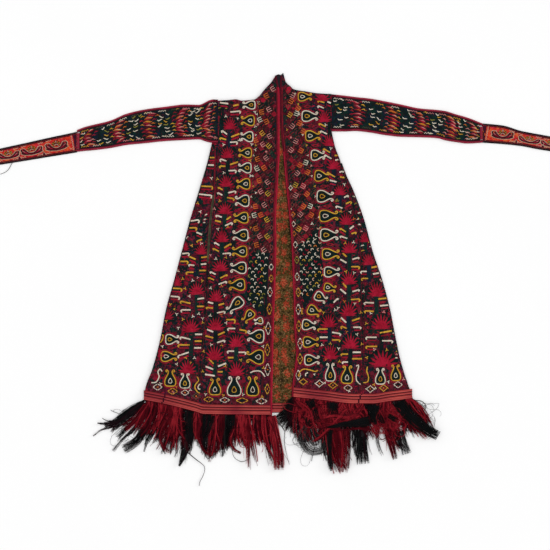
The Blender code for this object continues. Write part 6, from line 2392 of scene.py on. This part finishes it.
RIGHT_BLACK_BUNDLES = [
    ([(354, -474), (362, -490), (370, -504)], 18, 12, 30, 10.6, (9, 1, 0)),
    ([(384, -474), (400, -484), (418, -494)], 16, 14, 34, 10.6, (9, 1, 0)),
    ([(132, -450), (140, -474), (146, -498)], 14, 20, 36, 10.8, (7, 3, 0)),
    ([(100, -478), (112, -496), (122, -508)], 12, 18, 26, 10.4, (6, 3, 0)),
    ([(322, -494), (285, -500), (235, -506), (178, -516)], 32, 3, 100, 11.2, (9, 1, 0)),
    ([(62, -430), (92, -470), (130, -520), (150, -560)], 14, 12, 30, 6.2, (4, 2, 1)),
    ([(60, -440), (40, -468), (22, -488), (6, -500)], 20, 26, 34, 5.4, (4, 2, 1)),
    ([(128, -505), (96, -545), (120, -590), (160, -584), (166, -550)], 44, 36, 24, 6.6, (3, 2, 2)),
    ([(74, -432), (52, -462), (30, -488), (14, -508)], 26, 60, 70, 5.6, (5, 3, 1)),
    ([(88, -450), (70, -496), (54, -536)], 34, 50, 60, 5.6, (5, 3, 1)),
    ([(108, -470), (98, -520), (92, -566)], 44, 50, 60, 5.6, (5, 4, 1)),
    ([(134, -584), (130, -604), (124, -632)], 3, 1, 3, 2.0, (1, 1, 3)),
    ([(352, -510), (350, -560), (366, -612)], 10, 14, 9, 5.0, (1, 2, 3)),
    ([(196, -431), (195, -448), (199, -470)], 42, 32, 80, 11.4, (9, 1, 0)),
    ([(334, -441), (335, -466), (338, -506)], 46, 14, 90, 11.4, (9, 1, 0)),
    ([(422, -430), (440, -456), (474, -492), (516, -522), (554, -545)], 42, 30, 110, 10.6, (9, 1, 0)),
    ([(118, -422), (121, -432), (130, -448)], 32, 18, 50, 11.4, (9, 1, 0)),
    ([(296, -548), (296, -590), (300, -640)], 30, 46, 70, 6.0, (7, 2, 1)),
    ([(188, -524), (186, -580), (190, -664)], 16, 6, 40, 8.4, (7, 2, 1)),
    ([(424, -530), (436, -570), (448, -606)], 24, 32, 44, 7.0, (7, 2, 1)),
    ([(470, -424), (500, -428), (514, -446), (504, -466), (492, -472)], 3, 3, 5, 3.0, (2, 2, 2)),
]
LEFT_BLACK_BUNDLES = [
    ([(-442, -436), (-490, -470), (-544, -500), (-580, -508)], 20, 16, 50, 3.4, (6, 3, 1)),
    ([(-476, -462), (-530, -494), (-572, -504), (-604, -502)], 10, 3, 12, 3.0, (4, 2, 2)),
    ([(-480, -466), (-530, -488), (-566, -496), (-588, -486)], 8, 3, 10, 3.0, (4, 2, 2)),
    ([(-470, -458), (-500, -462), (-520, -460)], 12, 6, 12, 3.0, (4, 2, 2)),
    ([(-486, -484), (-524, -504), (-552, -526)], 12, 14, 14, 3.0, (4, 2, 2)),
    ([(-430, -520), (-436, -560), (-444, -600)], 10, 5, 12, 3.0, (4, 2, 2)),
    ([(-404, -520), (-392, -566), (-376, -608)], 12, 6, 14, 3.0, (4, 2, 2)),
    ([(-430, -500), (-470, -562), (-516, -592)], 24, 30, 46, 3.0, (6, 3, 1)),
    ([(-300, -540), (-306, -596), (-326, -648)], 50, 4, 60, 5.0, (6, 3, 1)),
    ([(-290, -463), (-292, -506), (-284, -566)], 32, 20, 64, 8.6, (9, 1, 0)),
    ([(-224, -475), (-227, -506), (-240, -548)], 40, 20, 64, 8.6, (9, 1, 0)),
    ([(-152, -476), (-150, -498), (-156, -530)], 32, 16, 48, 8.6, (9, 1, 0)),
    ([(-300, -600), (-270, -625), (-240, -650), (-243, -678), (-257, -705), (-258, -716)],
     2, 1, 4, 1.6, (1, 1, 4)),
    ([(-146, -590), (-140, -618), (-114, -634), (-88, -622), (-92, -598), (-107, -575)],
     2, 2, 3, 2.4, (1, 1, 4)),
    ([(5, -495), (32, -528), (31, -563), (40, -610), (49, -643)], 2, 1, 3, 1.8, (1, 1, 4)),
    ([(-470, -478), (-530, -470), (-560, -458)], 3, 2, 3, 2.4, (1, 1, 4)),
    ([(-500, -505), (-560, -520), (-590, -528), (-618, -547)], 8, 6, 8, 2.6, (2, 2, 2)),
    ([(-480, -520), (-520, -560), (-551, -597)], 8, 8, 8, 2.2, (2, 2, 2)),
    ([(-262, -560), (-236, -590), (-214, -606), (-232, -622)], 12, 8, 12, 3.0, (2, 2, 2)),
]
LEFT_RED_BUNDLES = [
    ([(-438, -440), (-476, -486), (-516, -520)], 18, 30, 50, 5.6, (4, 4, 3)),
    ([(-12, -478), (2, -540), (12, -600), (14, -660)], 26, 34, 90, 8.0, (3, 4, 4)),
    ([(-140, -520), (-152, -560), (-140, -590), (-116, -604)], 16, 8, 30, 8.0, (2, 4, 2)),
    ([(-250, -500), (-262, -540), (-246, -590), (-222, -612)], 8, 8, 18, 8.0, (2, 4, 2)),
    ([(-360, -480), (-388, -540), (-372, -590), (-350, -600)], 14, 10, 30, 8.2, (2, 4, 2)),
]
# Tangled loops over each fringe: from x, y, to x, y, threads, length, height, shares of the shades
RIGHT_RED_TANGLES = [
    (74, -500, 180, -440, 44, 150, 9.4, (2, 3, 5)),
    (345, -545, 425, -455, 40, 130, 9.4, (2, 3, 5)),
    (205, -488, 312, -456, 34, 150, 9.6, (3, 3, 5)),
]
RIGHT_BLACK_TANGLES = [
    (92, -580, 170, -505, 34, 140, 6.0, (3, 2, 2)),
    (20, -500, 90, -430, 26, 80, 6.0, (4, 2, 1)),
    (440, -530, 545, -440, 30, 90, 6.0, (4, 2, 1)),
]
LEFT_RED_TANGLES = [
    (-400, -560, -310, -470, 16, 80, 8.6, (2, 4, 3)),
    (-130, -570, -30, -490, 12, 70, 8.6, (2, 4, 3)),
]
LEFT_BLACK_TANGLES = [(-560, -560, -430, -460, 22, 80, 4.5, (4, 2, 1))]


def fringes():
    """The fringe of each hem, thread by thread."""
    # One crimson silk at three brightnesses: the strands differ in tone at random, and the dark copy is also
    # painted shade between strands and the light copy painted highlight, most on the plies that lie on top
    reds = [fringe_finish("fringe_red_dark", (0.022, 0.001, 0.004), (0.050, 0.002, 0.006)),
            fringe_finish("fringe_red", (0.090, 0.0025, 0.007), (0.150, 0.004, 0.011)),
            fringe_finish("fringe_red_light", (0.29, 0.010, 0.021), (0.43, 0.023, 0.035))]
    blacks = [fringe_finish("fringe_black", (0.003, 0.004, 0.004), (0.007, 0.008, 0.009)),
              fringe_finish("fringe_black_red", (0.012, 0.003, 0.006), (0.030, 0.005, 0.010)),
              fringe_finish("fringe_grey", (0.020, 0.022, 0.022), (0.060, 0.062, 0.060))]
    under_red = ROOT_CLOTH + ROOT_LAYER_GAP
    plans = [
        ("fringe_left_crimson", LEFT_CRIMSON, left_hem, (-436, -11), reds, (6, 4, 1), LEFT_RED_BUNDLES,
         LEFT_RED_TANGLES),
        ("fringe_left_black", LEFT_BLACK, left_hem, None, blacks, (8, 2, 1), LEFT_BLACK_BUNDLES,
         LEFT_BLACK_TANGLES),
        ("fringe_right_crimson", RIGHT_CRIMSON, right_hem, (62, 467), reds, (7, 4, 2), RIGHT_RED_BUNDLES,
         RIGHT_RED_TANGLES),
        ("fringe_right_black", RIGHT_BLACK, right_hem, None, blacks, (8, 2, 1), RIGHT_BLACK_BUNDLES,
         RIGHT_BLACK_TANGLES),
    ]
    made = {}
    for node, rows, line, heading, materials, weights, bundles, tangles in plans:
        below = 0.0 if heading else under_red
        threads = Threads()

        def root_top(x):
            return front_height(x, line(x)) - below

        threads.locks(rows, line, root_top, THREADS_PER_MM, weights)
        if heading:
            threads.plies(rows, line, root_top, PLIES_PER_MM, (1, 3, 6))
            threads.heading(line, root_top, *heading, weights)
        for bundle in bundles:
            threads.bundle(*bundle)
        for patch in tangles:
            threads.tangle(*patch)
        slot = "crimson_fringe" if heading else "black_fringe"
        made[node] = threads.piece(f"threads_{node}", materials, slot, node)
    threads = Threads()
    threads.locks(BACK_FRINGE, back_hem, lambda x: BACK_CLOTH - 0.1, THREADS_PER_MM * 0.4, (6, 3, 1))
    made["fringe_back"] = threads.piece("threads_fringe_back", blacks, "black_fringe", "fringe_back")
    return made


# A loose dark thread that hangs from the left strip's lower edge onto the floor
LOOSE_THREAD = [(-894.5, 384), (-906, 363), (-915, 354), (-926, 348), (-940, 344)]


def loose_thread():
    """The loose thread as a piece of its own."""
    strand = Threads()
    strand.draw([(x, y, 1.3) for x, y in smooth_path(LOOSE_THREAD, 4.0)], 1.15, 0)
    finish = woven_finish("loose_thread", (0.03, 0.03, 0.03), (0.06, 0.06, 0.06), 0.9)
    return add_piece("loose_thread", strand.vertices, strand.faces, [finish], strand.shades, "strip_edge")


# The cut of each laid sheet, in metres: width and length
CUTS = {
    "front_left": (0.262, 1.160), "front_left_gore": (0.192, 0.900), "front_right": (0.246, 1.100),
    "front_right_gore": (0.182, 0.822), "back_panel": (0.562, 1.152), "back_gore_left": (0.192, 0.900),
    "back_gore_right": (0.182, 0.830), "lining": (0.172, 0.960), "sleeve_left": (0.132, 0.474),
    "sleeve_right": (0.118, 0.508), "strip_left": (0.064, 0.352), "strip_right": (0.060, 0.318),
}


def declare(name, piece, area, rests_on, with_pieces=()):
    """Reads a sheet's cut and its area, supports and trims, and states nothing about the piece."""
    width, length = CUTS[name]
    min(area, width * length)
    list(with_pieces)
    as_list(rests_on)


def declare_cloth():
    """Passes every sheet of the garment, with the trims, stitching and fringe that are sewn to it, to
    declare.
    """
    declare("back_panel", *backs["back_panel"], ["floor"], [threads["fringe_back"], braids["inside"][0]])
    declare("back_gore_left", *backs["back_gore_left"], ["floor"])
    declare("back_gore_right", *backs["back_gore_right"], ["floor"])
    declare("lining", lining, lining_area, ["cloth_back_panel"])
    for side in ("left", "right"):
        declare(f"front_{side}", *fronts[f"front_{side}"], ["cloth_back_panel", "cloth_lining"], [
            embroidery[side], edges[side][0], braids[side][0],
            threads[f"fringe_{side}_crimson"], threads[f"fringe_{side}_black"],
        ])
        declare(f"front_{side}_gore", *fronts[f"front_{side}_gore"], [f"cloth_back_gore_{side}"])
        sleeve = sleeves[side]
        bindings = [sleeve[place][0] for place in ("bottom", "top", "end")]
        declare(f"sleeve_{side}", *sleeve["back"], ["floor"])
        declare(f"sleeve_{side}", *sleeve["front"], [f"cloth_sleeve_{side}_back"],
                [sleeve_embroidery[side], *bindings])
        strip = strips[side]
        trims = [strip_embroidery[side], strip["bottom"][0], strip["top"][0]]
        if side == "left":
            trims.append(stray)
        declare(f"strip_{side}", *strip["body"], ["floor"], trims)


PALETTE = make_palette()
set_view()
set_light()
lay_floor()
fronts = front_cloth()
backs = back_cloth()
braids = hem_braids()
edges = edge_bindings()
lining, lining_area = lining_cloth()
sleeves = {"left": sleeve_cloth("left", LEFT_SLEEVE), "right": sleeve_cloth("right", RIGHT_SLEEVE)}
embroidery = {side: embroider_front(side) for side in ("left", "right")}
strips = {"left": strip_cloth("left", LEFT_STRIP), "right": strip_cloth("right", RIGHT_STRIP)}
sleeve_embroidery = {
    "left": embroider_sleeve("left", LEFT_SLEEVE, LEFT_WARM, LEFT_PALE),
    "right": embroider_sleeve("right", RIGHT_SLEEVE, RIGHT_WARM, RIGHT_PALE),
}
strip_embroidery = {
    "left": embroider_strip("left", LEFT_STRIP, LEFT_BOATS),
    "right": embroider_strip("right", RIGHT_STRIP, RIGHT_BOATS),
}
threads = fringes()
stray = loose_thread()
declare_cloth()
